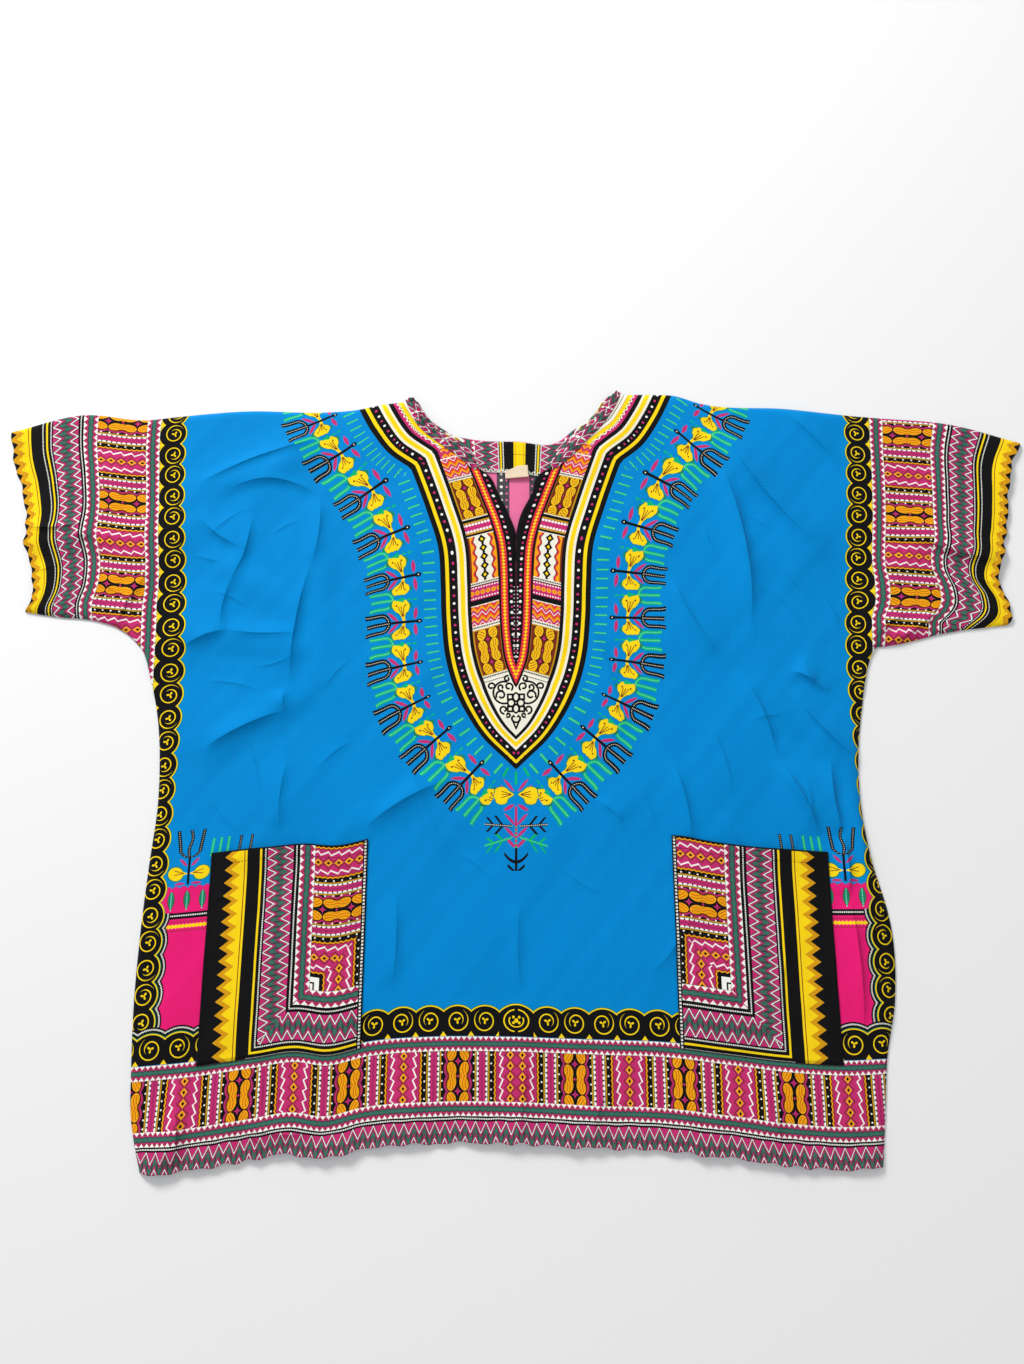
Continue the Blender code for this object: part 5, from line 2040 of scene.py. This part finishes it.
@dataclass(frozen=True)
class PocketPrint:
    """The pocket's print, cut from the cloth's corner. Measured from its inner edge and its foot."""

    turn: float = 52.0
    corner: float = 59.0
    half: float = 46.0
    butterfly: float = 136.5
    lowest: float = 90.0

    def draw(self, sk: Sketch) -> None:
        """Draw the pocket's print."""
        x, y = BORDERS.coordinates(sk)
        upright = x - self.turn
        level = self.corner - y
        deep = upright.most(level)
        vertical = upright > level
        along = y * vertical + x * vertical.flip()
        self.cells(sk, x, y)
        Tooth(width=15.5, period=7.5).draw(sk, deep, along)
        DottedLine(15.5, 22.0).draw(sk, deep, along)
        Zigzag(22.0, 48.0, period=10.2).draw(sk, deep, along)
        CuffBand(48.0, 300.0).stripes(sk, deep - 47.5, along)
        self.upright_edge(sk, x, y)
        sk.lay(DYES.black, x < 4.6)
        sk.lay(DYES.white, (abs(x - 2.3) < 1.0) & (y.repeat(3.3) < 2.0))
        sk.lay(DYES.black, y > 198.5)

    def cells(self, sk: Sketch, x: Term, y: Term) -> None:
        """Draw the column of cells, whose lowest one turns the corner."""
        upward = y - self.lowest
        inward = 24.0 - x
        bend = upward.most(inward)
        low = y < 106.0
        beyond = self.half - abs(self.half - abs(y - self.butterfly))
        away = (self.half - abs(bend)) * low + beyond * low.flip()
        flat = (upward > inward).most(low.flip())
        across = (x - 28.5) * flat + (y - self.lowest) * flat.flip()
        frieze = Frieze(width=47.0, half=self.half)
        frieze.draw(sk, (x < self.turn) & (y > 0.0), away, across, abs(self.half - away))
        patch = (bend < -17.0) & (y > 50.0)
        sk.lay(DYES.black, patch)
        sk.lay(DYES.white, patch & (bend < -19.0))
        sk.lay(DYES.black, patch & abs(bend + 24.5).within(0.0, 0.8))
        sk.lay(DYES.magenta, patch & (bend < -27.5))

    def upright_edge(self, sk: Sketch, x: Term, y: Term) -> None:
        """Draw the upright black and yellow edge with its hatched teeth."""
        sk.lay(DYES.black, x > 110.0)
        sk.lay(DYES.yellow, x.within(120.0, 146.0))
        sk.lay(DYES.brown, abs(x - 122.6) < 0.45)
        tip = x - y.mirror(6.25) * 1.45
        teeth = (tip > 127.0) & (x > 123.5)
        sk.lay(DYES.ochre, teeth)
        sk.lay(DYES.gold, teeth & ((x + y * 0.35).repeat(1.7) < 0.6))
        sk.lay(DYES.black, tip > 133.5)


# ---------------------------------------------------------------------------
# Garment
# ---------------------------------------------------------------------------


def plain(name: str, colour: Colour, space: str = PRINT_MAP, creases: bool = False) -> bpy.types.Material:
    """Plain cloth of one colour."""
    return Sketch(name, colour).finish(ClothFinish(space=space, creases=creases))


class Design(Protocol):
    """Anything that draws itself on a material."""

    def draw(self, sk: Sketch) -> None:
        """Draw the design."""


def printed(name: str, ground: Colour, design: Design, creases: bool = True) -> bpy.types.Material:
    """Cloth with a printed design."""
    sketch = Sketch(name, ground)
    design.draw(sketch)
    return sketch.finish(ClothFinish(creases=creases))


def whole_panel(cell: float, back: bool) -> ClothMesh:
    """Cut a panel together with its sleeves."""
    cloth = ClothMesh()
    for side in Side:
        CUT.add_body(cloth, side, cell, back)
        CUT.add_sleeve(cloth, side, cell)
    return cloth


class FrontRegion(IntEnum):
    """The front's regions, in the order of its materials."""

    FIELD = 0
    RING = 1
    NECK = 2
    SIDE = 3
    SLEEVE = 4
    CORNER = 5
    SCROLL = 6
    HEM = 7
    WRONG_SIDE = 8


class BackRegion(IntEnum):
    """The back's regions, in the order of its materials."""

    FIELD = 0
    SIDE = 1
    SLEEVE = 2
    SCROLL = 3
    HEM = 4
    WRONG_SIDE = 5


@dataclass
class FrontPanel:
    """The front with its sleeves, cut in one with them."""

    cell: float = 0.0041
    slot: str = "printed_cotton"
    # the ring's cloth: how far it reaches out from the neck's design, and from the middle
    ring_depth: float = 0.105
    ring_out: float = 0.34
    # how far inside its outline the neck's own cloth begins
    neck_inset: float = 0.0025

    def build(self) -> bpy.types.Object:
        """Build the front's shell."""
        cloth = whole_panel(self.cell, back=False)
        return cloth.close("front_cloth", STACK.front_under(*cloth.cut_points()), STACK.wall)

    def regions(self, thing: bpy.types.Object) -> Array:
        """Choose each face's material by where it lies in the cut."""
        out, up = point_values(thing, "out"), point_values(thing, "up")
        along, away = NECK.measure(out, up)
        set_map(thing, PRINT_MAP, out, up)
        set_map(thing, NECK_MAP, along, away)
        set_map(thing, SLIT_MAP, *SLIT.measure(out, up))
        set_map(thing, RING_MAP, *RING.measure(out, up))
        set_creases(thing, FOLDS.crisp_layers(*LAY.place(out, up)))
        reach, height, depth = (face_means(thing, v) for v in (np.abs(out), up, away))
        choice = np.full(len(reach), FrontRegion.FIELD, dtype=int)
        choice[(depth < self.ring_depth) & (reach < self.ring_out)] = FrontRegion.RING
        choice[depth < -self.neck_inset] = FrontRegion.NECK
        choice[(reach > CUT.straight_out) & (height > CUT.corner_up)] = FrontRegion.SIDE
        choice[reach > CUT.swirl_out] = FrontRegion.SLEEVE
        choice[(height < CUT.corner_up) & (reach > CUT.corner_out)] = FrontRegion.CORNER
        choice[(height < CUT.field_up) & (reach < CUT.corner_out)] = FrontRegion.SCROLL
        choice[height < CUT.swirl_up] = FrontRegion.HEM
        choice[face_lifts(thing) < -LEVEL] = FrontRegion.WRONG_SIDE
        return choice


@dataclass
class BackPanel:
    """The back with its sleeves, face down on the floor."""

    cell: float = 0.0065
    slot: str = "printed_cotton"

    def build(self) -> bpy.types.Object:
        """Build the back's shell."""
        cloth = whole_panel(self.cell, back=True)
        x, y = LAY.place(*cloth.cut_points())
        return cloth.close("back_cloth", (x, y, STACK.back_under(x, y)), STACK.wall)

    def regions(self, thing: bpy.types.Object) -> Array:
        """Choose each face's material by where it lies in the cut."""
        out, up = point_values(thing, "out"), point_values(thing, "up")
        set_map(thing, PRINT_MAP, out, up)
        x, y = LAY.place(out, up)
        set_creases(thing, FOLDS.crisp_layers(-x, y))
        reach, height = (face_means(thing, v) for v in (np.abs(out), up))
        choice = np.full(len(reach), BackRegion.FIELD, dtype=int)
        choice[(reach > CUT.straight_out) & (height > CUT.swirl_up)] = BackRegion.SIDE
        choice[reach > CUT.swirl_out] = BackRegion.SLEEVE
        choice[(height < CUT.field_up) & (reach < CUT.straight_out)] = BackRegion.SCROLL
        choice[height < CUT.swirl_up] = BackRegion.HEM
        choice[face_lifts(thing) > LEVEL] = BackRegion.WRONG_SIDE
        return choice


@dataclass
class Pockets:
    """The two patch pockets, sewn on the front."""

    cell: float = 0.0045
    thickness: float = 0.0006
    gap: float = 0.0002
    print_width: float = 0.157
    # how far in from the edge its stitches run
    stitch_inset: float = 0.0022
    slot: str = "pocket_cotton"

    def build(self, name: str, outer: float, inner: float) -> bpy.types.Object:
        """Build one pocket on the front's own grid, so that it follows the front's folds.

        Args:
            name: Its CAD node's name.
            outer: Distance out of one upright edge.
            inner: Distance out of the other.

        Returns:
            The pocket.
        """
        low, high = sorted((abs(outer), abs(inner)))
        side = Side.LEFT if outer < 0.0 else Side.RIGHT
        columns = CUT.columns(self.cell)
        columns = columns[(columns > low - 1e-6) & (columns < high + 1e-6)]
        rows = CUT.rows(self.cell)
        rows = rows[(rows > CUT.pocket_foot - 1e-6) & (rows < CUT.pocket_top + 1e-6)]
        out = side.value * np.repeat(columns[None, :], len(rows), axis=0)
        up = np.repeat(rows[:, None], len(columns), axis=1)
        cloth = ClothMesh()
        cloth.add_patch(out, up)
        out, up = cloth.cut_points()
        thing = cloth.close(name + "_cloth", self.under(out, up, low, high), self.thickness)
        out, up = point_values(thing, "out"), point_values(thing, "up")
        set_creases(thing, FOLDS.crisp_layers(*LAY.place(out, up)))
        scale = self.print_width / (high - low)
        set_map(thing, PRINT_MAP, (np.abs(out) - low) * scale, up - CUT.pocket_foot)
        return thing

    def under(self, out: Array, up: Array, low: float, high: float) -> tuple[Array, Array, Array]:
        """Find a pocket's underside.

        Args:
            out: Distances out in the cut.
            up: Heights in the cut.
            low: Distance out of its inner edge.
            high: Distance out of its outer edge.

        Returns:
            X, Y and Z of each point.
        """
        x, y, z = STACK.front_under(out, up)
        reach = np.abs(out)
        rim = np.minimum.reduce([reach - low, high - reach, up - CUT.pocket_foot])
        puff = 0.0016 * ease(rim / 0.022) * (1.0 + 0.35 * np.sin(38.0 * x + 21.0 * y))
        middle = np.sin(np.pi * np.clip((reach - low) / (high - low), 0.0, 1.0))
        mouth = 0.0026 * ease((up - CUT.pocket_top + 0.030) / 0.030) * middle
        turned = STACK.fold_profile(rim, self.stitch_inset)
        turned = turned + STACK.fold_profile(CUT.pocket_top - up, CUT.pocket_fold)
        return x, y, z + STACK.wall + self.gap + puff + mouth + turned


@dataclass
class FacingLip:
    """Where the facing rolls out over the front's edge at a shoulder, crumpled."""

    overlap: float = 0.0035
    thickness: float = 0.0005
    # Y, how far it reaches into the opening
    reach: Table = (
        (0.316, 0.004), (0.328, 0.011), (0.345, 0.014), (0.362, 0.012), (0.38, 0.01), (0.394, 0.008),
        (0.41, 0.003),
    )

    def build(self, side: Side) -> bpy.types.Object:
        """Build one lip as a rolled, wrinkled strip."""
        column = 1 if side is Side.LEFT else 2
        top = 0.402 if side is Side.LEFT else 0.411
        y = np.linspace(0.317, top, 96)
        edge = side.value * read_smooth(CUT.neck_edge, y, column)
        slope = np.gradient(edge, y)
        size = np.hypot(1.0, slope)
        share = np.linspace(0.0, 1.0, 19)
        width = self.overlap + read_smooth(self.reach, y, 1)
        across = share[None, :] * width[:, None] - self.overlap
        x = edge[:, None] - side.value * across / size[:, None]
        y = y[:, None] + side.value * across * (slope / size)[:, None]
        walked = np.concatenate([[0.0], np.cumsum(np.hypot(np.diff(edge), np.diff(y[:, 0])))])
        cloth = ClothMesh()
        cloth.add_patch(np.repeat(walked[:, None], len(share), axis=1), across)
        along, over = cloth.cut_points()
        x, y = x.ravel(), y.ravel()
        z = self.height(x, y, along, over, side, np.repeat(edge, len(share)))
        thing = cloth.close(f"facing_lip_{side.name.lower()}", (x, y, z), self.thickness)
        along, over = point_values(thing, "out"), point_values(thing, "up")
        wandering = 0.0315 + np.abs(np.mod(along + 0.3 * over, 0.050) - 0.025)
        set_map(thing, PRINT_MAP, wandering, over * 1.1 + along * 0.2)
        return thing

    def height(self, x: Array, y: Array, along: Array, over: Array, side: Side, edge: Array) -> Array:
        """Height of the lip: on the front, over its edge, then down onto the facing."""
        rest_x = np.where(np.abs(x) > np.abs(edge), x, edge + side.value * 0.001)
        out, up = LAY.find(rest_x, y)
        front = STACK.front_under(out, np.minimum(up, LAY.length - 0.002))[2] + STACK.wall
        into = np.clip(over / 0.011, 0.0, 1.0)
        base = (front + 0.0003) * (1.0 - into) + 0.0022 * into
        wander = 1.5 * np.sin(260.0 * along + 90.0 * over) + 0.9 * np.sin(141.0 * along)
        fold = 0.5 + 0.5 * np.sin(along * 760.0 + wander + 150.0 * over)
        small = 0.5 + 0.5 * np.sin(along * 1240.0 - over * 820.0 + 2.0 * wander)
        roll = np.sin(np.pi * np.clip((over + self.overlap) / (0.014 + self.overlap), 0.0, 1.0))
        return base + roll * (0.0006 + 0.0028 * fold + 0.0014 * small)


@dataclass
class NeckFacing:
    """The facing inside the back neck, crumpled where it rolls out at the shoulders."""

    depth: float = 0.038
    inset: float = 0.001
    thickness: float = 0.0005
    columns: int = 132
    rows: int = 17
    slot: str = "facing_cotton"

    def build(self) -> bpy.types.Object:
        """Build the facing's strip."""
        cloth = ClothMesh()
        along = np.linspace(CUT.back_neck[0][0] + 0.001, CUT.back_neck[-1][0] - 0.001, self.columns)
        down = np.linspace(0.0, 1.0, self.rows)
        out = np.repeat(along[None, :], self.rows, axis=0)
        up = np.repeat(down[:, None], self.columns, axis=1)
        cloth.add_patch(out, up)
        out, up = cloth.cut_points()
        edge = read_smooth(CUT.back_neck, out, 1)
        x = out * (1.0 - 0.07 * up)
        y = edge - self.inset - self.depth * up
        z = 0.0010 + 0.0002 * up + self.crumple(x, y)
        thing = cloth.close("neck_facing_cloth", (x, y, z), self.thickness)
        out, up = point_values(thing, "out"), point_values(thing, "up")
        set_map(thing, PRINT_MAP, out, up * self.depth)
        return thing

    def crumple(self, x: Array, y: Array) -> Array:
        """How high the facing's crumples stand: only near the shoulders, clear of the front."""
        left = read_smooth(CUT.neck_edge, y, 1)
        right = read_smooth(CUT.neck_edge, y, 2)
        room = np.where(x < 0.0, left, right) - np.abs(x)
        place = ease((np.abs(x) - 0.050) / 0.030) * ease((room - 0.001) / 0.006)
        waves = 0.5 + 0.5 * np.sin(x * 520.0 + y * 190.0 + 1.6 * np.sin(x * 210.0 - y * 330.0))
        fine = 0.5 + 0.5 * np.sin(x * 900.0 - y * 760.0 + 0.7)
        return place * (0.0034 * waves + 0.0012 * fine)


@dataclass
class Label:
    """A blank woven label sewn in at the back neck."""

    size: tuple[float, float] = (0.026, 0.015)
    centre: tuple[float, float] = (0.001, 0.3120)
    turn: float = math.radians(4.0)
    # how much shorter the tape is folded at one end
    slant: float = 0.010
    lift: float = 0.0026
    thickness: float = 0.0005
    slot: str = "label_tape"

    def build(self) -> bpy.types.Object:
        """Build the label as a small sheet that curls a little at its free edge."""
        cloth = ClothMesh()
        across = np.linspace(-0.5, 0.5, 19)
        down = np.linspace(-0.5, 0.5, 11)
        cloth.add_patch(np.repeat(across[None, :], 11, axis=0), np.repeat(down[:, None], 19, axis=1))
        u, v = cloth.cut_points()
        bow = 0.0009 * (0.5 - v) ** 2 + 0.0006 * np.sin(3.0 * u + 0.6) * (0.5 - v)
        x = u * self.size[0]
        y = v * self.size[1] - (v + 0.5) * self.slant * np.maximum(0.1 - u, 0.0)
        turned_x = x * math.cos(self.turn) - y * math.sin(self.turn) + self.centre[0]
        turned_y = x * math.sin(self.turn) + y * math.cos(self.turn) + self.centre[1]
        z = self.lift + bow + 0.0004 * np.abs(u)
        thing = cloth.close("label_cloth", (turned_x, turned_y, z), self.thickness)
        u, v = point_values(thing, "out"), point_values(thing, "up")
        set_map(thing, PRINT_MAP, (u + 0.5) * self.size[0], (v + 0.5) * self.size[1])
        return thing


@dataclass
class Stitching:
    """Rows of machine stitches, each a small rounded grain of thread."""

    length: float = 0.0025
    gap: float = 0.0010
    thickness: float = 0.00045
    # the most points that a batch holds, because adding to a large mesh is slow
    batch_size: int = 600

    def sew(self, bm: bmesh.types.BMesh, x: Array, y: Array, z: Array, lean: float = 0.0) -> None:
        """Sew a row of stitches.

        Args:
            bm: The mesh to add to.
            x: X along the row.
            y: Y along it.
            z: Z along it.
            lean: How far each stitch leans to one side and the next to the other.
        """
        walked = np.concatenate([[0.0], np.cumsum(np.hypot(np.diff(x), np.diff(y)))])
        half = self.length / 2.0
        places = np.arange(self.gap + half, walked[-1] - half, self.length + self.gap)
        batch = bmesh.new()
        scratch = bpy.data.meshes.new("stitch_batch")
        for index, place in enumerate(places):
            if len(batch.verts) > self.batch_size:
                batch.to_mesh(scratch)
                bm.from_mesh(scratch)
                batch.clear()
            ends = place - half, place + half
            (x0, x1), (y0, y1), (z0, z1) = (np.interp(ends, walked, line) for line in (x, y, z))
            turn = math.atan2(y1 - y0, x1 - x0) + lean * (1.0 if index % 2 else -1.0)
            rise = -math.atan2(z1 - z0, self.length)
            centre = Vector(((x0 + x1) / 2.0, (y0 + y1) / 2.0, (z0 + z1) / 2.0))
            spot = Matrix.Translation(centre) @ Matrix.Rotation(turn, 4, "Z")
            spot = spot @ Matrix.Rotation(rise, 4, "Y")
            spot = spot @ Matrix.Diagonal((half, self.thickness / 2.0, self.thickness * 0.4, 1.0))
            bmesh.ops.create_uvsphere(batch, u_segments=6, v_segments=4, radius=1.0, matrix=spot)
        batch.to_mesh(scratch)
        bm.from_mesh(scratch)
        batch.free()
        bpy.data.meshes.remove(scratch)

    def hems(self) -> bpy.types.Object:
        """Sew the hem and the cuffs."""
        bm = bmesh.new()
        lift = STACK.wall + 0.0001
        for side in Side:
            seam = float(LAY.seam_out(np.array([CUT.hem_fold]), side.value)[0]) - 0.004
            out = side.value * np.linspace(0.0, seam, 260)
            x, y, z = STACK.front_under(out, np.full_like(out, CUT.hem_fold))
            self.sew(bm, x, y, z + lift)
            cuff = LAY.cuff_out - CUT.cuff_fold
            foot = float(LAY.foot_up(np.array([cuff]), side.value)[0]) + 0.004
            up = np.linspace(foot, LAY.length - 0.003, 180)
            x, y, z = STACK.front_under(side.value * np.full_like(up, cuff), up)
            self.sew(bm, x, y, z + lift)
        return smooth_object(bm, "hem_stitches")

    def pocket(self, pockets: Pockets, name: str, outer: float, inner: float) -> bpy.types.Object:
        """Sew one pocket's sides and foot, and the turning along its top."""
        low, high = sorted((abs(outer), abs(inner)))
        side = math.copysign(1.0, outer)
        inset = pockets.stitch_inset
        bm = bmesh.new()
        top, foot = CUT.pocket_top - 0.001, CUT.pocket_foot + inset
        corners = ((low + inset, top), (low + inset, foot), (high - inset, foot), (high - inset, top))
        fold = CUT.pocket_top - CUT.pocket_fold
        turning = ((low + inset, fold), (high - inset, fold))
        for line in (corners, turning):
            reach = np.concatenate([np.linspace(a[0], b[0], 120) for a, b in zip(line, line[1:])])
            up = np.concatenate([np.linspace(a[1], b[1], 120) for a, b in zip(line, line[1:])])
            x, y, z = pockets.under(side * reach, up, low, high)
            self.sew(bm, x, y, z + pockets.thickness + 0.0001)
        return smooth_object(bm, name + "_stitches")

    def overlock(self, facing: NeckFacing) -> bpy.types.Object:
        """Sew the white overlocking along the facing's lower edge."""
        bm = bmesh.new()
        along = np.linspace(CUT.back_neck[0][0] + 0.012, CUT.back_neck[-1][0] - 0.012, 240)
        x = along * 0.93
        y = read_smooth(CUT.back_neck, along, 1) - facing.inset - facing.depth * 0.985
        z = np.full_like(x, 0.0010 + 0.0002 + facing.thickness + 0.0002) + facing.crumple(x, y)
        loops = Stitching(length=0.0054, gap=-0.0024, thickness=0.00125)
        loops.sew(bm, x, y + 0.0016, z, lean=0.95)
        edge = Stitching(length=0.0040, gap=-0.0008, thickness=0.00100)
        edge.sew(bm, x, y - 0.0004, z)
        return smooth_object(bm, "facing_overlock")


@dataclass(frozen=True)
class Setting:
    """The pale floor, the soft light and the camera."""

    floor_reach: float = 4.0
    floor_drop: float = 0.0004
    floor_tone: float = 0.86
    sky_strength: float = 0.60
    window_size: float = 1.1
    window_power: float = 118.0
    window_place: tuple[float, float, float] = (-1.7, 2.7, 2.0)
    window_aim: tuple[float, float, float] = (0.0, 0.05, 0.0)
    focal_length: float = 27.03
    sensor_width: float = 36.0
    camera_place: tuple[float, float, float] = (-0.0042, -0.211, 1.048)
    camera_tilt: float = math.radians(15.0)

    def build(self) -> None:
        """Build the floor, the lights and the camera."""
        self.add_floor()
        self.add_lights()
        self.add_camera()

    def add_floor(self) -> None:
        """Lay a plain pale floor."""
        bm = bmesh.new()
        bmesh.ops.create_grid(bm, x_segments=2, y_segments=2, size=self.floor_reach)
        bmesh.ops.translate(bm, vec=(0.0, 0.0, -self.floor_drop), verts=bm.verts[:])
        floor = smooth_object(bm, "floor")
        material = bpy.data.materials.new("floor_white")
        material.use_nodes = True
        surface = material.node_tree.nodes["Principled BSDF"]
        surface.inputs["Base Color"].default_value = (*[self.floor_tone] * 3, 1.0)
        surface.inputs["Roughness"].default_value = 0.9
        floor.data.materials.append(material)

    def add_lights(self) -> None:
        """Light the cloth softly, with enough slant to show its creases."""
        world = bpy.data.worlds.new("studio")
        world.use_nodes = True
        sky = world.node_tree.nodes["Background"]
        sky.inputs["Color"].default_value = (1.0, 1.0, 1.0, 1.0)
        sky.inputs["Strength"].default_value = self.sky_strength
        bpy.context.scene.world = world
        lamp = bpy.data.lights.new("window", type="AREA")
        lamp.shape = "RECTANGLE"
        lamp.size = self.window_size
        lamp.size_y = self.window_size
        lamp.energy = self.window_power
        window = bpy.data.objects.new("window", lamp)
        window.location = self.window_place
        aim = Vector(self.window_aim) - window.location
        window.rotation_euler = aim.to_track_quat("-Z", "Y").to_euler()
        bpy.context.scene.collection.objects.link(window)

    def add_camera(self) -> None:
        """Look down on the shirt from just in front of it."""
        lens = bpy.data.cameras.new("camera")
        lens.lens = self.focal_length
        lens.sensor_width = self.sensor_width
        lens.sensor_fit = "AUTO"
        camera = bpy.data.objects.new("camera", lens)
        camera.location = self.camera_place
        camera.rotation_euler = (self.camera_tilt, 0.0, 0.0)
        bpy.context.scene.collection.objects.link(camera)
        bpy.context.scene.camera = camera
        bpy.context.scene.view_settings.view_transform = "Standard"


@dataclass(frozen=True)
class Wardrobe:
    """The panels' finishes, made once."""

    cotton: ClothFinish = ClothFinish(creases=True)

    def front(self) -> list[bpy.types.Material]:
        """The front's materials, in the order of its regions."""
        return [
            plain("cloth_blue", DYES.blue, creases=True),
            printed("print_ring", DYES.blue, FlowerRing()),
            printed("print_neck", DYES.black, NeckDesign()),
            BORDERS.side("print_side", DYES.blue).finish(self.cotton),
            BORDERS.sleeve("print_sleeve", DYES.blue).finish(self.cotton),
            printed("print_corner", DYES.blue, PinkCorner()),
            BORDERS.scroll("print_scroll", DYES.blue).finish(self.cotton),
            BORDERS.hem("print_hem", DYES.blue).finish(self.cotton),
            plain("cloth_blue_wrong_side", DYES.wrong_blue, creases=True),
        ]

    def back(self, front: list[bpy.types.Material]) -> list[bpy.types.Material]:
        """The back's materials, in the order of its regions."""
        blue, _, _, side, sleeve, _, scroll, hem, _ = front
        return [blue, side, sleeve, scroll, hem, self.wrong_side()]

    def wrong_side(self) -> bpy.types.Material:
        """The back's wrong side: paler, with a painted shadow band on each side of the middle that carries
        beads of the print showing through.
        """
        sketch = Sketch("cloth_wrong_side", DYES.wrong_pink)
        across, up = sketch.millimetres(PRINT_MAP)
        out = abs(across - 4.0)
        # painted shadow: a dark band on each side of the middle; the cream and pink beads laid on it below
        # are print showing through
        shadow_band = out.within(11.0, 25.0)
        sketch.lay(DYES.shadow_band_grey, shadow_band)
        bead = sketch.distance(up.repeat(8.0) - 4.0, out - 20.0)
        small = sketch.distance(up.repeat(8.0) - 4.0, out - 14.0)
        sketch.lay(DYES.cream, shadow_band & (bead < 1.7))
        sketch.lay(DYES.wrong_pink, shadow_band & (small < 1.2))
        sketch.lay(DYES.wrong_blue, out > 60.0)
        return sketch.finish(self.cotton)


@dataclass(frozen=True)
class FacingPrint:
    """The facing's print, mirrored about the middle of the back."""

    def draw(self, sk: Sketch) -> None:
        """Draw the print."""
        across, down = sk.millimetres(PRINT_MAP)
        out = abs(across - 4.3)
        sk.lay(DYES.black, out < 26.0)
        sk.lay(DYES.yellow, out < 6.8)
        sk.lay(DYES.ochre, (out < 6.8) & ((abs(down - 15.5) < 0.5) | (abs(out - 4.9) < 0.35)))
        at = out - 18.8
        sk.lay(DYES.white, (abs(at) < 0.7) & (down.repeat(1.8) < 1.2))
        sk.lay(DYES.yellow, abs(at - 2.8) < 0.9)
        sk.lay(DYES.white, (abs(at - 5.6) < 0.7) & (down.repeat(1.8) < 1.2))
        Zigzag(25.0, 51.0, period=9.0).draw(sk, out, down)
        for start in (51.0, 96.0):
            Tooth(width=15.0, period=6.5).draw(sk, out - start, down)
        lobe = sk.distance(out.repeat(11.0) - 5.5, (down.repeat(14.0) - 7.0) * 0.8)
        strip = (out > 66.0) & (out < 96.0)
        sk.lay(DYES.ochre, strip & (lobe < 4.2))
        sk.lay(DYES.brown, strip & (lobe < 1.6))


def add_piece(
    thing: bpy.types.Object, node: str, finishes: list[bpy.types.Material], choice: Array | None
) -> bpy.types.Object:
    """Dress a piece, lay out its bake map, tie it to the shirt and hide its CAD node.

    Args:
        thing: The piece.
        node: The CAD node that it stands for.
        finishes: Its materials.
        choice: For each face, which of them, or nothing where there is only one.

    Returns:
        The piece.
    """
    if choice is None:
        choice = np.zeros(len(thing.data.polygons))
    dress(thing, finishes, choice)
    set_bake_map(thing, outer_up=node != "back")
    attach(thing, BODY)
    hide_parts(node)
    LOG.info("%s: %d faces", thing.name, len(thing.data.polygons))
    return thing


def add_thread(thing: bpy.types.Object, name: str, dye: Colour) -> bpy.types.Object:
    """Dress a piece of stitching and tie it to the shirt."""
    thing.data.materials.append(bpy.data.materials.get(name) or plain(name, dye, OBJECT_SPACE))
    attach(thing, BODY)
    LOG.info("%s: %d faces", thing.name, len(thing.data.polygons))
    return thing


def main() -> None:
    """Build the shirt, dress it and set it in its light."""
    logging.basicConfig(level=logging.INFO, format="%(message)s")
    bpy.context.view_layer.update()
    wardrobe = Wardrobe()
    front, back, pockets = FrontPanel(), BackPanel(), Pockets()
    facing, label = NeckFacing(), Label()
    front_finishes = wardrobe.front()
    front_cloth = front.build()
    add_piece(front_cloth, "front", front_finishes, front.regions(front_cloth))
    back_cloth = back.build()
    add_piece(back_cloth, "back", wardrobe.back(front_finishes), back.regions(back_cloth))
    pocket_finish = printed("print_pocket", DYES.black, PocketPrint())
    for name, outer, inner in CUT.pockets:
        pocket = add_piece(pockets.build(name, outer, inner), name, [pocket_finish], None)
        stitches = Stitching().pocket(pockets, name, outer, inner)
        add_thread(stitches, "thread_black", DYES.black)
    facing_finish = printed("print_facing", DYES.cream, FacingPrint(), creases=False)
    facing_cloth = add_piece(facing.build(), "neck_facing", [facing_finish], None)
    label_cloth = add_piece(label.build(), "label", [plain("label_tape", DYES.tape)], None)
    for side in Side:
        lip = add_piece(FacingLip().build(side), "neck_facing", [facing_finish], None)
    overlock = add_thread(Stitching().overlock(facing), "thread_white", DYES.white)
    hems = add_thread(Stitching().hems(), "thread_plum", DYES.plum)
    Setting().build()
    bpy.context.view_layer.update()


if __name__ == "__main__":
    main()
